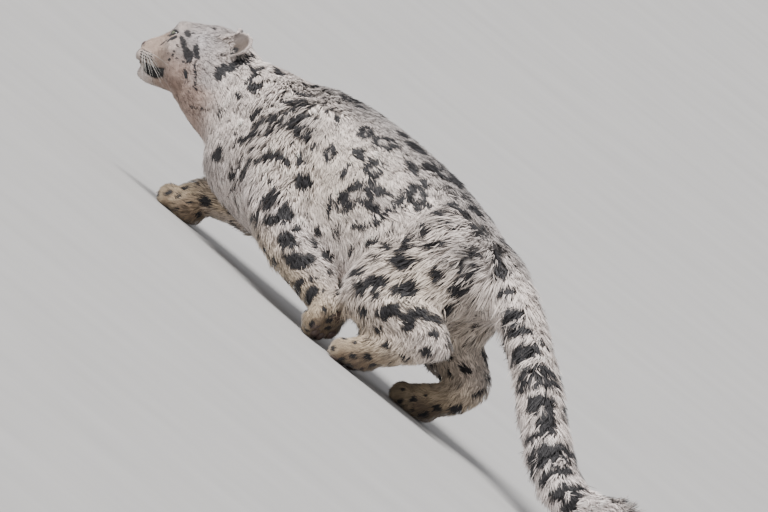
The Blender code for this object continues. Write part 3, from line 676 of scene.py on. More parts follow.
# Markings: places in the part's own script, half length and half width in millimetres,
# turn of the long axis in the side view, and kind: s solid, r ring, b blotch, g grey
LEFT_MARKS = (
    (0.075, -0.675, 0.330, 27, 7, -65, "s"), (0.088, -0.645, 0.315, 12, 10, 40, "s"),
    (0.100, -0.590, 0.305, 10, 5, 0, "s"), (0.042, -0.655, 0.365, 28, 7, -27, "s"),
    (0.094, -0.660, 0.280, 11, 6, 10, "s"), (0.100, -0.635, 0.270, 10, 6, 50, "s"),
    (0.080, -0.728, 0.205, 22, 4, 29, "s"), (0.092, -0.670, 0.228, 22, 6, 45, "s"),
    (0.111, -0.515, 0.345, 28, 9, 18, "s"), (0.077, -0.536, 0.369, 14, 10, 0, "s"),
    (0.128, -0.500, 0.305, 28, 16, 20, "r"), (0.107, -0.583, 0.275, 13, 8, -80, "s"),
    (0.124, -0.535, 0.262, 26, 18, 40, "r"), (0.117, -0.560, 0.220, 14, 8, 40, "s"),
    (0.110, -0.575, 0.193, 11, 8, 50, "s"), (0.094, -0.608, 0.160, 15, 12, 58, "s"),
    (0.129, -0.520, 0.214, 11, 8, 25, "s"), (0.145, -0.464, 0.222, 22, 10, 50, "s"),
    (0.143, -0.423, 0.240, 17, 7, 4, "s"), (0.136, -0.395, 0.262, 16, 7, -9, "s"),
    (0.134, -0.356, 0.232, 19, 13, 8, "s"), (0.129, -0.503, 0.190, 13, 9, 75, "s"),
    (0.115, -0.538, 0.179, 8, 7, 60, "s"), (0.117, -0.503, 0.163, 14, 9, 70, "s"),
    (0.103, -0.533, 0.146, 14, 8, 67, "s"), (0.090, -0.520, 0.123, 16, 7, 40, "s"),
    (0.152, -0.413, 0.190, 11, 6, -16, "s"), (0.152, -0.384, 0.172, 16, 11, -54, "s"),
    (0.153, -0.380, 0.152, 10, 9, 30, "s"), (0.137, -0.430, 0.127, 11, 6, 20, "s"),
    (0.138, -0.395, 0.108, 17, 9, 10, "s"), (0.146, -0.345, 0.135, 18, 9, 50, "s"),
    (0.144, -0.334, 0.165, 18, 13, -23, "s"), (0.127, -0.317, 0.190, 6, 5, 40, "s"),
    (0.137, -0.293, 0.156, 8, 7, 45, "s"), (0.149, -0.286, 0.123, 16, 12, 18, "s"),
    (0.148, -0.238, 0.101, 21, 13, 26, "s"), (0.139, -0.223, 0.123, 10, 9, 80, "s"),
    (0.131, -0.203, 0.062, 14, 9, 80, "s"), (0.137, -0.166, 0.062, 14, 10, 70, "s"),
    (0.140, -0.181, 0.097, 6, 5, 40, "s"), (0.136, -0.271, 0.232, 22, 8, -52, "s"),
    (0.100, -0.409, 0.370, 20, 6, -46, "s"), (0.128, -0.441, 0.315, 18, 13, -74, "r"),
    (0.135, -0.234, 0.282, 26, 18, 50, "r"), (0.130, -0.216, 0.206, 20, 10, 80, "g"),
    (0.123, -0.164, 0.191, 18, 8, 88, "s"), (0.147, -0.107, 0.163, 15, 10, 29, "s"),
    (0.132, -0.125, 0.234, 14, 9, 24, "s"), (0.132, -0.115, 0.263, 12, 7, 50, "s"),
    (0.139, -0.086, 0.243, 13, 11, 31, "s"), (0.145, -0.091, 0.212, 17, 8, 4, "s"),
    (0.145, -0.028, 0.242, 22, 13, 17, "s"), (0.163, -0.054, 0.146, 16, 10, -12, "s"),
    (0.158, -0.037, 0.177, 19, 12, 35, "s"), (0.161, -0.018, 0.158, 11, 9, -15, "s"),
    (0.142, 0.024, 0.204, 20, 15, 50, "s"), (0.137, 0.008, 0.271, 6, 6, 37, "s"),
    (0.130, 0.037, 0.296, 9, 6, -54, "s"), (0.128, 0.051, 0.263, 17, 11, -33, "s"),
    (0.101, 0.083, 0.318, 23, 14, -66, "r"), (0.097, 0.095, 0.264, 15, 10, -30, "s"),
    (0.157, 0.036, 0.146, 16, 12, 34, "s"), (0.158, 0.016, 0.128, 7, 6, -60, "s"),
    (0.149, 0.085, 0.176, 19, 9, 50, "s"), (0.149, 0.090, 0.152, 13, 9, 80, "s"),
    (0.125, 0.115, 0.197, 17, 9, 70, "s"), (0.137, 0.145, 0.171, 9, 7, 50, "s"),
    (0.134, -0.055, 0.281, 22, 10, -44, "s"), (0.129, -0.044, 0.310, 20, 9, -39, "s"),
    (0.134, -0.007, 0.295, 10, 8, -63, "s"), (0.129, 0.011, 0.318, 16, 8, 42, "s"),
    (0.133, -0.173, 0.243, 18, 8, 33, "s"), (0.030, -0.315, 0.430, 15, 10, 4, "s"),
    (0.033, -0.266, 0.430, 20, 12, -5, "s"), (0.052, -0.192, 0.418, 14, 12, 9, "s"),
    (0.020, -0.175, 0.430, 28, 24, 4, "r"), (0.081, -0.206, 0.394, 15, 9, -14, "s"),
    (0.084, -0.153, 0.385, 18, 8, -17, "s"), (0.055, -0.112, 0.407, 17, 14, 27, "g"),
    (0.126, -0.170, 0.312, 28, 20, 45, "r"), (0.104, -0.131, 0.360, 28, 15, -14, "r"),
    (0.133, -0.147, 0.270, 12, 8, 46, "s"), (0.093, -0.018, 0.396, 28, 11, -3, "s"),
    (0.033, -0.043, 0.412, 15, 12, 0, "s"), (0.110, -0.055, 0.362, 13, 10, 22, "s"),
    (0.119, -0.020, 0.354, 18, 8, 26, "s"), (0.088, 0.029, 0.388, 13, 10, 11, "s"),
    (0.060, 0.034, 0.395, 12, 10, -27, "s"), (0.026, -0.095, 0.418, 26, 13, -11, "g"),
    (0.049, 0.084, 0.370, 19, 9, -22, "s"), (0.058, 0.121, 0.350, 13, 12, 49, "s"),
    (0.062, 0.164, 0.325, 14, 12, 0, "s"), (0.073, 0.218, 0.297, 18, 14, 60, "s"),
    (0.081, 0.259, 0.276, 20, 12, 40, "s"), (0.092, 0.315, 0.257, 22, 17, 50, "s"),
    (0.060, 0.326, 0.293, 12, 8, -16, "s"), (0.098, 0.385, 0.234, 32, 22, 55, "b"),
    (0.110, 0.440, 0.204, 20, 16, 60, "s"), (0.116, 0.488, 0.180, 24, 14, -40, "s"),
    (0.122, 0.500, 0.150, 22, 10, 50, "s"), (0.136, 0.555, 0.134, 32, 22, 60, "b"),
    (0.145, 0.602, 0.112, 28, 12, 60, "s"), (0.155, 0.660, 0.100, 26, 12, 50, "s"),
    (0.160, 0.700, 0.090, 20, 12, 60, "s"),
)
# Face marks on each side, as short lines: back and up from the nose tip in millimetres at both
# ends, half width, and darkness
FACE_MARKS = (
    (30, 12, 46, 25, 1.5, 0.80),
    (42, 24, 52, 32, 3.0, 0.95),
    (50, 30, 58, 38, 3.4, 1.00),
    (62, 23, 71, 18, 1.6, 0.90),
    (65, 42, 77, 27, 3.4, 1.00),
    (76, 29, 84, 19, 3.8, 1.00),
    (82, 22, 92, 8, 4.2, 1.00),
    (87, 15, 102, 0, 6.4, 1.00),
    (74, 55, 83, 44, 4.4, 1.00),
    (72, 37, 82, 25, 2.6, 0.90),
    (101, 31, 116, 6, 3.8, 1.00),
    (110, -1, 125, -29, 3.4, 1.00),
    (120, -20, 126, -38, 3.2, 1.00),
    (123, -33, 133, -51, 3.4, 1.00),
    (119, -62, 125, -55, 3.0, 1.00),
    (98, -22, 108, -37, 3.4, 0.90),
    (62, 9, 65, 7, 2.0, 0.70),
    (52, 0, 54, 0, 1.8, 0.45),
    (62, 0, 65, -1, 2.4, 0.80),
    (46, -9, 48, -9, 1.6, 0.40),
    (58, -11, 62, -11, 2.4, 0.80),
    (71, -4, 76, -5, 2.2, 0.80),
    (85, -6, 94, -8, 2.6, 0.95),
    (85, -19, 88, -20, 1.8, 0.70),
    (120, 77, 126, 68, 2.6, 0.90),
    (104, 65, 107, 63, 1.8, 0.60),
    (126, 44, 133, 36, 1.8, 0.60),
    (147, 60, 154, 50, 1.8, 0.70),
    (128, -9, 149, 0, 1.4, 0.80),
    (135, -34, 158, -23, 1.2, 0.45),
    (139, -54, 148, -44, 2.8, 0.60),
    (172, -28, 184, -44, 3.0, 0.45),
    (160, -12, 194, 14, 9.0, 1.00),
    (183, 10, 209, 35, 7.2, 1.00),
    (204, 29, 216, 53, 5.2, 1.00),
    (158, -12, 176, -22, 4.4, 0.80),
    (215, -7, 229, 9, 4.4, 0.90),
    (228, 7, 242, 34, 4.6, 0.90),
    (228, -6, 250, -11, 6.0, 0.80),
    (268, 40, 283, 19, 5.2, 0.70),
    (130, -97, 159, -82, 2.6, 0.80),
    (177, -92, 198, -72, 3.2, 0.90),
    (93, 70, 96, 68, 1.6, 0.50),
    (111, 61, 114, 58, 1.6, 0.50),
    (87, 56, 91, 52, 1.8, 0.60),
    (99, 51, 102, 48, 1.6, 0.50),
    (109, 42, 112, 36, 1.6, 0.50),
)
CROWN_MARKS = (
    # across, back, half length, half width, turn away from straight back
    (9, 84, 7, 2.4, 10), (22, 90, 6, 2.6, 25), (4, 98, 6, 2.2, 0), (15, 104, 7, 2.6, 15),
    (30, 103, 6, 2.6, 30), (8, 116, 7, 2.6, 5), (22, 120, 8, 3.0, 20), (37, 116, 6, 2.6, 35),
    (13, 133, 8, 3.0, 8), (29, 137, 8, 3.2, 22), (45, 130, 6, 2.8, 30), (5, 148, 8, 3.0, 0),
    (19, 153, 9, 3.4, 12), (38, 152, 8, 3.2, 25), (10, 170, 10, 3.6, 5), (27, 174, 10, 3.8, 12),
    (46, 172, 9, 3.6, 20), (17, 192, 11, 4.2, 5), (36, 194, 11, 4.2, 12),
)
TYPED_GROWTH = 1.50
FACE_GROWTH = 1.65
MARK_SPACING = {
    "neck": 0.033, "chest": 0.040, "loin": 0.050, "foreleg_left": 0.031, "foreleg_right": 0.031,
    "hindleg_left": 0.034, "hindleg_right": 0.034, "tail": 0.052, "crown": 0.040, "face": 0.060, "ears": 1.0,
}


def gather_marks(skin):
    """All the marks on the coat, each as centre, long axis, half sizes, kind and darkness."""
    mesh = skin.data
    points = points_of(mesh)
    triangles = triangles_of(mesh)
    normals = normals_of(points, triangles)
    lie, coat, group, names = coat_fields(points, unit(spread(normals, edges_of(mesh), 3)))
    tree = BVHTree.FromPolygons([tuple(p) for p in points], [tuple(t) for t in triangles])
    rows = []

    def add(place, axis, half_length, half_width, kind, dark):
        spot, normal, _, _ = tree.find_nearest(Vector(place))
        normal = np.array(normal)
        axis = unit(axis - normal * (axis @ normal))
        rows.append((np.array(spot), axis, half_length / 1000, half_width / 1000, kind, dark))

    for x, y, z, long, wide, turn, kind in LEFT_MARKS:
        axis = np.array((0.0, math.cos(math.radians(turn)), math.sin(math.radians(turn))))
        add(here((x, y, z)), axis, long * TYPED_GROWTH, wide * TYPED_GROWTH, kind, 1.0)
    # The far side is not in the photograph: the same marks, moved about
    tail_y, tail_x = [p[1] for p in TAIL_POINTS], [p[0] for p in TAIL_POINTS]
    far_rng = np.random.default_rng(8)
    for x, y, z, long, wide, turn, kind in LEFT_MARKS:
        if z < 0.20 and y < 0.10:
            continue
        middle = np.interp(y, tail_y, tail_x) if y > tail_y[0] else 0.0
        place = np.array((2 * middle - x, y, z)) + far_rng.normal(size=3) * (0, 0.012, 0.009)
        turn = math.radians(turn + far_rng.uniform(-35, 35))
        growth = TYPED_GROWTH * far_rng.uniform(0.8, 1.15)
        add(here(place), np.array((0.0, math.cos(turn), math.sin(turn))), long * growth, wide * growth, kind, 1.0)
    seen_from = camera_axes()[2] @ HEAD_AXES
    for back, up, far_back, far_up, wide, dark in FACE_MARKS:
        for side in (-1, 1):
            toward = seen_from * (side, 1, 1)
            middle = np.array((0, (back + far_back) / 2 / seen_from[0], (up + far_up) / 2)) / 1000
            start = from_head(middle + toward * 0.2)
            hit, _, _, _ = tree.ray_cast(Vector(start), Vector(HEAD_AXES @ -toward))
            if hit is not None:
                run = np.array((0.0, far_back - back, far_up - up))
                long = max(np.linalg.norm(run) / 2 + wide * 0.6, wide * 1.2)
                add(np.array(hit), HEAD_AXES @ run, long * 1.15, wide * FACE_GROWTH, "s", dark)
    for across, back, long, wide, turn in CROWN_MARKS:
        for side in (-1, 1):
            start = from_head((side * across / 1000, back / 1000, 0.2))
            hit, _, _, _ = tree.ray_cast(Vector(start), Vector(HEAD_AXES @ np.array((0, 0, -1.0))))
            if hit is not None:
                axis = np.array((side * math.sin(math.radians(turn)), math.cos(math.radians(turn)), 0.0))
                add(np.array(hit), HEAD_AXES @ axis, long, wide, "s", 0.85)
    for side in (-1, 1):
        for row in range(4):
            for k in range(5):
                back = 9 + 5.6 * k + 1.5 * row
                up = -9 - 5.4 * row - 1.0 * k
                start = from_head((side * 0.15, back / 1000, up / 1000))
                hit, _, _, _ = tree.ray_cast(Vector(start), Vector(HEAD_AXES @ np.array((-side, 0, 0))))
                if hit is not None:
                    add(np.array(hit), HEAD_AXES @ np.array((0.0, 1.0, -0.35)), 3.8, 1.7, "s", 1.0)
    # Scattered marks everywhere else, denser where the animal has smaller ones
    place_rng = np.random.default_rng(5)
    order = place_rng.permutation(len(points))[:16000]
    centres = np.array([row[0] for row in rows])
    reach = np.array([0.6 * row[2] for row in rows])
    for index in order:
        name = names[group[index]]
        spacing = MARK_SPACING[name]
        local = head_places(points[index][None])[0]
        if name in ("face", "ears") or local[1] < 0.150:
            continue
        if points[index][2] < 0.010:
            continue
        if name.startswith(("fore", "hind")) and coat[index, 1] < 14:
            spacing *= 0.62
        gap = np.linalg.norm(centres - points[index], axis=1) - reach
        if gap.min() < spacing * 0.80:
            continue
        size = spacing * 1000 * place_rng.uniform(0.32, 0.50)
        slim = place_rng.uniform(0.50, 0.85)
        kind = "s"
        if name in ("loin", "chest") and normals[index][2] > -0.3 and place_rng.random() < 0.72:
            kind = "r"
            size *= 1.35
            slim = place_rng.uniform(0.65, 0.9)
        if name == "neck":
            slim *= 0.6
        dark = 1.0
        if normals[index][2] < -0.55 and name in ("loin", "chest", "neck", "tail"):
            dark = 0.30
        along = lie[index] + 0.45 * place_rng.normal(size=3)
        if name == "tail":
            size *= 1.3
        add(points[index], along, size, size * slim, kind, dark)
        centres = np.vstack((centres, points[index]))
        reach = np.append(reach, 0.6 * size / 1000)
    # Short dark streaks between the marks, most on the shoulders, the neck, the back and the thighs
    taken = np.zeros((0, 3))
    for index in place_rng.permutation(len(points)):
        y, z = points[index][1:] - SHIFT[1:]
        name = names[group[index]]
        busy = math.exp(-(((y + 0.52) / 0.13) ** 2)) * (z > 0.12) + smoothstep(0.31, 0.39, z)
        busy += 0.7 * smoothstep(0.16, 0.28, z) * (y > -0.10) + 0.6 * (name == "neck")
        if name in ("face", "crown", "ears", "tail") or busy < 0.05:
            continue
        spacing = 0.042 - 0.023 * min(busy, 1.0)
        if len(taken) and np.linalg.norm(taken - points[index], axis=1).min() < spacing:
            continue
        taken = np.vstack((taken, points[index]))
        along = lie[index] + 0.35 * place_rng.normal(size=3)
        long, wide = place_rng.uniform(10, 24), place_rng.uniform(4.0, 7.5)
        add(points[index], along, long, wide, "s", place_rng.uniform(0.55, 1.0))
    return rows


MARK_REACH = 0.06


def darkness(points, rows):
    """How black the markings are at each point, and how grey inside the rings."""
    centres = np.array([r[0] for r in rows])
    axes = np.array([r[1] for r in rows])
    long = np.array([r[2] for r in rows])
    wide = np.array([r[3] for r in rows])
    ring = np.array([r[4] == "r" for r in rows])
    grey = np.array([r[4] == "g" for r in rows])
    blotch = np.array([r[4] == "b" for r in rows])
    strength = np.array([r[5] for r in rows])
    black = np.zeros(len(points))
    middle = np.zeros(len(points))
    coarse = noise(points, 0.014)
    fine = noise(points, 0.0055)
    breaks = noise(points + 7.3, 0.011)
    order = np.argsort(points[:, 1])
    for start in range(0, len(points), 3000):
        part = order[start : start + 3000]
        near = (centres[:, 1] > points[part[0], 1] - MARK_REACH) & (centres[:, 1] < points[part[-1], 1] + MARK_REACH)
        if not near.any():
            continue
        away = points[part][:, None, :] - centres[near][None]
        along = np.einsum("ijk,jk->ij", away, axes[near])
        square = np.einsum("ijk,ijk->ij", away, away)
        across = np.maximum(square - along ** 2, 0)
        reach = np.sqrt((along / long[near]) ** 2 + across / wide[near] ** 2)
        small = np.clip(wide[near] / 0.009, 0.25, 1)
        reach = reach * (1 + (0.26 * coarse[part] + 0.16 * fine[part])[:, None] * small)
        solid = 1 - smoothstep(0.80, 1.12, reach)
        rim = smoothstep(0.40, 0.62, reach) * (1 - smoothstep(0.92, 1.22, reach))
        rim = rim * smoothstep(-0.55, -0.20, breaks[part])[:, None]
        centre = 1 - smoothstep(0.5, 1.0, reach)
        notch = solid * (1 - 0.8 * (centre * smoothstep(0.15, 0.45, breaks[part])[:, None]))
        value = np.where(ring[near], rim, np.where(blotch[near], notch, solid))
        value = np.where(grey[near], 0.45 * (1 - smoothstep(0.5, 1.2, reach)), value) * strength[near]
        black[part] = value.max(axis=1)
        middle[part] = np.where(ring[near], centre * strength[near], 0).max(axis=1)
    return black, middle


def ground_colour(points, normals, local):
    """The coat's colour under the markings, with painted shade on the far side's lower legs."""
    x, y, z = (points - SHIFT).T
    colour = np.tile(GREY_WHITE, (len(points), 1))
    flank = np.exp(-(((y + 0.33) / 0.17) ** 2 + ((z - 0.27) / 0.10) ** 2))
    colour = mix(colour, CREAM, np.clip(0.35 + 0.65 * flank, 0, 1) * smoothstep(0.12, 0.2, z))
    haunch = np.exp(-(((y - 0.03) / 0.13) ** 2 + ((z - 0.20) / 0.10) ** 2))
    colour = mix(colour, WARM, 0.60 * haunch)
    spine = smoothstep(0.33, 0.42, z) * smoothstep(0.12, 0.03, np.abs(x)) * smoothstep(-0.64, -0.56, y)
    colour = mix(colour, SPINE_GREY, 0.85 * spine)
    rump = smoothstep(0.24, 0.33, z) * np.exp(-(((y - 0.07) / 0.09) ** 2))
    colour = mix(colour, SPINE_GREY, 0.45 * rump)
    # The tail stays pale: everything low ahead of it grows warm towards the paws
    leg = smoothstep(0.16, 0.05, z) * (y < 0.22)
    colour = mix(colour, TAN, 0.85 * leg)
    # Painted shade: the far side's lower legs, in the body's shadow, are painted a darker tan
    right = smoothstep(0.0, -0.05, x) * smoothstep(0.22, 0.10, z) * (y < 0.22)
    colour = mix(colour, TAN, 0.4 * right)
    sole = smoothstep(0.10, 0.02, z) * smoothstep(0.0, 0.6, normals[:, 1]) * (y < 0.22)
    colour = mix(colour, UNDERFOOT, 0.80 * sole)
    under = smoothstep(-0.4, -0.9, normals[:, 2]) * smoothstep(0.03, 0.08, z) * (np.abs(x) < 0.10)
    colour = mix(colour, GREY_WHITE * 1.05, 0.7 * under * (y < 0.05))
    hx, hy, hz = local.T
    head = 1 - smoothstep(0.16, 0.24, hy)
    face = np.tile(GREY_WHITE * 0.54, (len(points), 1))
    temple = np.exp(-(((hy - 0.115) / 0.035) ** 2 + ((hz - 0.045) / 0.030) ** 2))
    face = mix(face, GREY_WHITE * np.array((0.66, 0.70, 0.75)), 0.7 * temple)
    face = mix(face, MUZZLE, smoothstep(0.10, 0.05, hy) * smoothstep(0.050, 0.035, hz))
    bridge = smoothstep(0.016, 0.008, np.abs(hx)) * smoothstep(0.0, 0.02, hy) * smoothstep(0.075, 0.055, hy)
    face = mix(face, CHIN * 0.92, 0.75 * bridge)
    lip = smoothstep(0.045, 0.020, hy) * smoothstep(-0.006, -0.014, hz) * smoothstep(-0.036, -0.030, hz)
    face = mix(face, CHIN * 0.88, 0.7 * lip)
    cheek = smoothstep(0.03, 0.06, np.abs(hx)) * smoothstep(0.05, 0.09, hy) * smoothstep(0.02, -0.03, hz)
    face = mix(face, THROAT * 1.1, 0.75 * cheek * smoothstep(0.17, 0.12, hy))
    under_eye = np.exp(-(((hy - 0.075) / 0.02) ** 2 + ((hz - 0.018) / 0.012) ** 2))
    face = mix(face, CHIN, 0.75 * under_eye)
    chin = smoothstep(-0.036, -0.045, hz) * smoothstep(0.06, 0.02, hy)
    face = mix(face, CHIN, chin)
    throat = smoothstep(-0.035, -0.06, hz) * smoothstep(0.04, 0.09, hy)
    face = mix(face, THROAT, 0.9 * throat)
    brow = np.exp(-(((hy - 0.078) / 0.013) ** 2 + ((hz - 0.060) / 0.009) ** 2))
    face = mix(face, CHIN, 0.8 * brow)
    colour = mix(colour, face, head)
    patchy = 0.09 * noise(points, 0.030) + 0.05 * noise(points, 0.009)
    return np.clip(colour * (1 + patchy)[:, None], 0, 1)


def face_paint(local, colour, normals):
    """Dark lips, lids and ears on top of the coat's colour, with a painted shadow deep in each ear."""
    hx, hy, hz = local.T
    line = mouth_line(hy)
    lip = np.exp(-(((hz - line) / 0.0022) ** 2)) * smoothstep(0.073, 0.066, hy) * (hy > -0.002)
    patch = smoothstep(0.017, 0.022, hy) * smoothstep(0.073, 0.069, hy)
    lower = line - 0.011 - 0.011 * np.sin(np.clip((hy - 0.018) / 0.054, 0, 1) * math.pi) ** 0.7
    patch *= smoothstep(-0.001, 0.0015, hz - lower) * smoothstep(0.0015, -0.0005, hz - line)
    dark = np.clip(np.maximum(lip, patch), 0, 1)
    split = np.exp(-((hx / 0.0014) ** 2)) * (hy < 0.016) * (hz < -0.008) * (hz > -0.034)
    dark = np.maximum(dark, 0.9 * split)
    for side in (-1, 1):
        centre, look, across, up = eye_frame(side)
        offset = local - centre
        near = (offset @ look > -0.002) & (np.linalg.norm(offset, axis=1) < 0.030)
        out = outside_lids(offset @ across, offset @ up)
        inner = smoothstep(-0.009, -0.013, offset @ across)
        rim = 1 - smoothstep(0.0030, 0.0048 + 0.0014 * inner, out)
        dark = np.maximum(dark, rim * near)
        # The dark tear line runs from the inner corner down beside the bridge
        tear = np.abs(offset @ up + 0.0014) - 0.0022
        tear = smoothstep(0.0012, -0.0006, tear) * smoothstep(-0.010, -0.012, offset @ across)
        tear *= smoothstep(-0.026, -0.020, offset @ across)
        dark = np.maximum(dark, 0.85 * tear * near)
    colour = mix(colour, LIP_BLACK, dark)
    for side in (-1, 1):
        axis, across, opening = ear_frame(side)
        offset = local - np.array((side * EAR_PLACE[0], EAR_PLACE[1], EAR_PLACE[2]))
        along, wide = offset @ axis, offset @ across
        there = on_ears(local) & (hx * side > 0)
        outward = (normals @ HEAD_AXES) @ opening
        spot = np.hypot(wide / EAR_HALF_WIDTH, np.maximum(along - 0.028, 0.0) / 0.036)
        rim = smoothstep(0.80, 0.90, spot)
        # Painted shadow: a black patch deep in the lower part of the ear's hollow
        patch = smoothstep(1.0, 0.7, np.hypot((wide + 0.011) / 0.013, (along - 0.018) / 0.018))
        inner = mix(np.tile(EAR_INSIDE, (len(local), 1)), GREY_WHITE * 0.55, smoothstep(0.0, 0.020, wide) * 0.4)
        inner = mix(inner, BLACK, 0.95 * patch)
        inner = mix(inner, CHIN * 0.95, rim)
        middle = np.exp(-((wide / 0.013) ** 2 + ((along - 0.038) / 0.015) ** 2))
        outer = mix(np.tile(BLACK * 1.6, (len(local), 1)), GREY_WHITE * 0.75, 0.9 * middle)
        outer = mix(outer, CHIN * 0.85, smoothstep(0.86, 0.96, spot))
        ear = mix(outer, inner, smoothstep(-0.25, 0.10, outward))
        colour = np.where(there[:, None], ear, colour)
    return colour


def painted(points, normals, rows):
    local = head_places(points)
    colour = ground_colour(points, normals, local)
    black, middle = darkness(points, rows)
    black[on_ears(local)] = 0.0
    colour = mix(colour, SPINE_GREY * 0.75, 0.45 * middle)
    return colour, black, local


# The coat


def sow(points, triangles, number, chosen, count, rng):
    """A count of roots spread over the chosen triangles, closer together where number is higher."""
    a, b, c = (points[triangles[:, k]] for k in range(3))
    area = np.linalg.norm(np.cross(b - a, c - a), axis=1) / 2
    share = area * number[triangles].mean(axis=1) * chosen
    edges = np.concatenate(((0.0,), np.cumsum(share)))
    ticks = (np.arange(count) + rng.random(count)) * (edges[-1] / count)
    where = np.clip(np.searchsorted(edges, ticks, side="right") - 1, 0, len(triangles) - 1)
    s, t = np.sqrt(rng.random(count)), rng.random(count)
    weights = np.stack((1 - s, s * (1 - t), s * t), axis=1)
    return triangles[where], weights


def weigh(values, corners, weights):
    shape = (len(corners), 3) + (1,) * (values.ndim - 1)
    return (values[corners] * weights.reshape(shape)).sum(axis=1)


# A lock is a root under the skin, three corners where it is widest, and a tip.
# A spike is three corners at the skin and a tip.
LOCK_FACES = ((0, 2, 1), (1, 2, 4), (0, 3, 2), (2, 3, 4), (0, 1, 3), (3, 1, 4))
SPIKE_FACES = ((0, 1, 3), (1, 2, 3), (2, 0, 3), (2, 1, 0))


def patch_places(faces):
    """Where each face corner lies in a lock's own patch, from 0 to 1: three strips side by side."""
    places = []
    for k, face in enumerate(faces):
        if faces is LOCK_FACES:
            left, right = (k // 2) / 3, (k // 2 + 1) / 3
            middle = (left + right) / 2
            if k % 2 == 0:
                places += [(middle, 0.0), (left, 0.4), (right, 0.4)]
            else:
                places += [(right, 0.4), (left, 0.4), (middle, 1.0)]
        elif k < 3:
            left, right = k / 3, (k + 1) / 3
            places += [(left, 0.15), (right, 0.15), ((left + right) / 2, 1.0)]
        else:
            places += [(1.0, 0.0), (0.5, 0.13), (0.0, 0.0)]
    return np.array(places)


def lock_mesh(name, verts, faces, colours, uv, normals):
    """One mesh of many locks of the same build. verts is (locks, corners, 3)."""
    count, corners = verts.shape[:2]
    sizes = np.array([len(f) for f in faces])
    flat = np.array([i for f in faces for i in f])
    loops = (flat[None] + (np.arange(count) * corners)[:, None]).ravel()
    totals = np.tile(sizes, count)
    starts = np.concatenate(((0,), np.cumsum(totals)[:-1]))
    mesh = bpy.data.meshes.new(name)
    mesh.vertices.add(count * corners)
    mesh.vertices.foreach_set("co", verts.astype(np.float32).ravel())
    mesh.loops.add(len(loops))
    mesh.loops.foreach_set("vertex_index", loops.astype(np.int32))
    mesh.polygons.add(len(totals))
    mesh.polygons.foreach_set("loop_start", starts.astype(np.int32))
    mesh.polygons.foreach_set("use_smooth", np.ones(len(totals), bool))
    layer = mesh.uv_layers.new(name="OFBake")
    layer.data.foreach_set("uv", uv.astype(np.float32).ravel())
    mesh.update(calc_edges=True)
    mesh.normals_split_custom_set_from_vertices(unit(normals.reshape(-1, 3)))
    paint(mesh, colours.reshape(-1, 3))
    item = bpy.data.objects.new(name, mesh)
    bpy.context.scene.collection.objects.link(item)
    return item


def paint(mesh, colours):
    layer = mesh.color_attributes.new("coat", "FLOAT_COLOR", "POINT")
    full = np.ones((len(colours), 4), np.float32)
    full[:, :3] = colours
    layer.data.foreach_set("color", full.ravel())


def unwrap(points, name):
    """A place for each root on an unwrap of the region's own shape, from 0 to 1."""
    if name in ("face", "crown", "ears"):
        offset = unit(to_head(points) - np.array((0, 0.11, 0)))
        open_angle = np.arccos(np.clip(-offset[:, 1], -1, 1))
        turn = np.arctan2(offset[:, 0], offset[:, 2])
        u, v = open_angle * np.sin(turn), open_angle * np.cos(turn)
    else:
        line = [here(p) for p in UNWRAP_LINES[name]]
        best = np.full(len(points), 1e9)
        u, v = np.zeros(len(points)), np.zeros(len(points))
        run = 0.0
        for a, b in zip(line, line[1:]):
            distance, along = to_line(points, a, b)
            step = np.linalg.norm(b - a)
            axis = (b - a) / step
            offset = points - a - ((points - a) @ axis)[:, None] * axis
            side = unit(np.cross(axis, (0.0, 0.0, 1.0)))
            over = np.cross(side, axis)
            angle = np.arctan2(offset @ side, offset @ over)
            better = distance < best
            place = run + np.clip((points - a) @ axis, -0.06, step + 0.06)
            u, v = np.where(better, angle, u), np.where(better, place, v)
            best = np.minimum(best, distance)
            run += step
    span = lambda w: (w - w.min()) / max(np.ptp(w), 1e-9)
    return np.stack((span(u), span(v)), axis=1) * (1 - 2 * PATCH) + PATCH * 0.5


UNWRAP_LINES = {
    "neck": ((0.02, -0.82, 0.25), (0, -0.56, 0.25)),
    "chest": ((0, -0.62, 0.25), (0, -0.26, 0.27)),
    "loin": ((0, -0.32, 0.27), (0, 0.10, 0.31)),
    "foreleg_left": tuple(g[1] for g in LIMB_GUIDES[:3]) + (LIMB_GUIDES[2][2],),
    "foreleg_right": tuple(g[1] for g in LIMB_GUIDES[3:6]) + (LIMB_GUIDES[5][2],),
    "hindleg_left": tuple(g[1] for g in LIMB_GUIDES[6:10]) + (LIMB_GUIDES[9][2],),
    "hindleg_right": tuple(g[1] for g in LIMB_GUIDES[10:]) + (LIMB_GUIDES[13][2],),
    "tail": TAIL_POINTS,
}


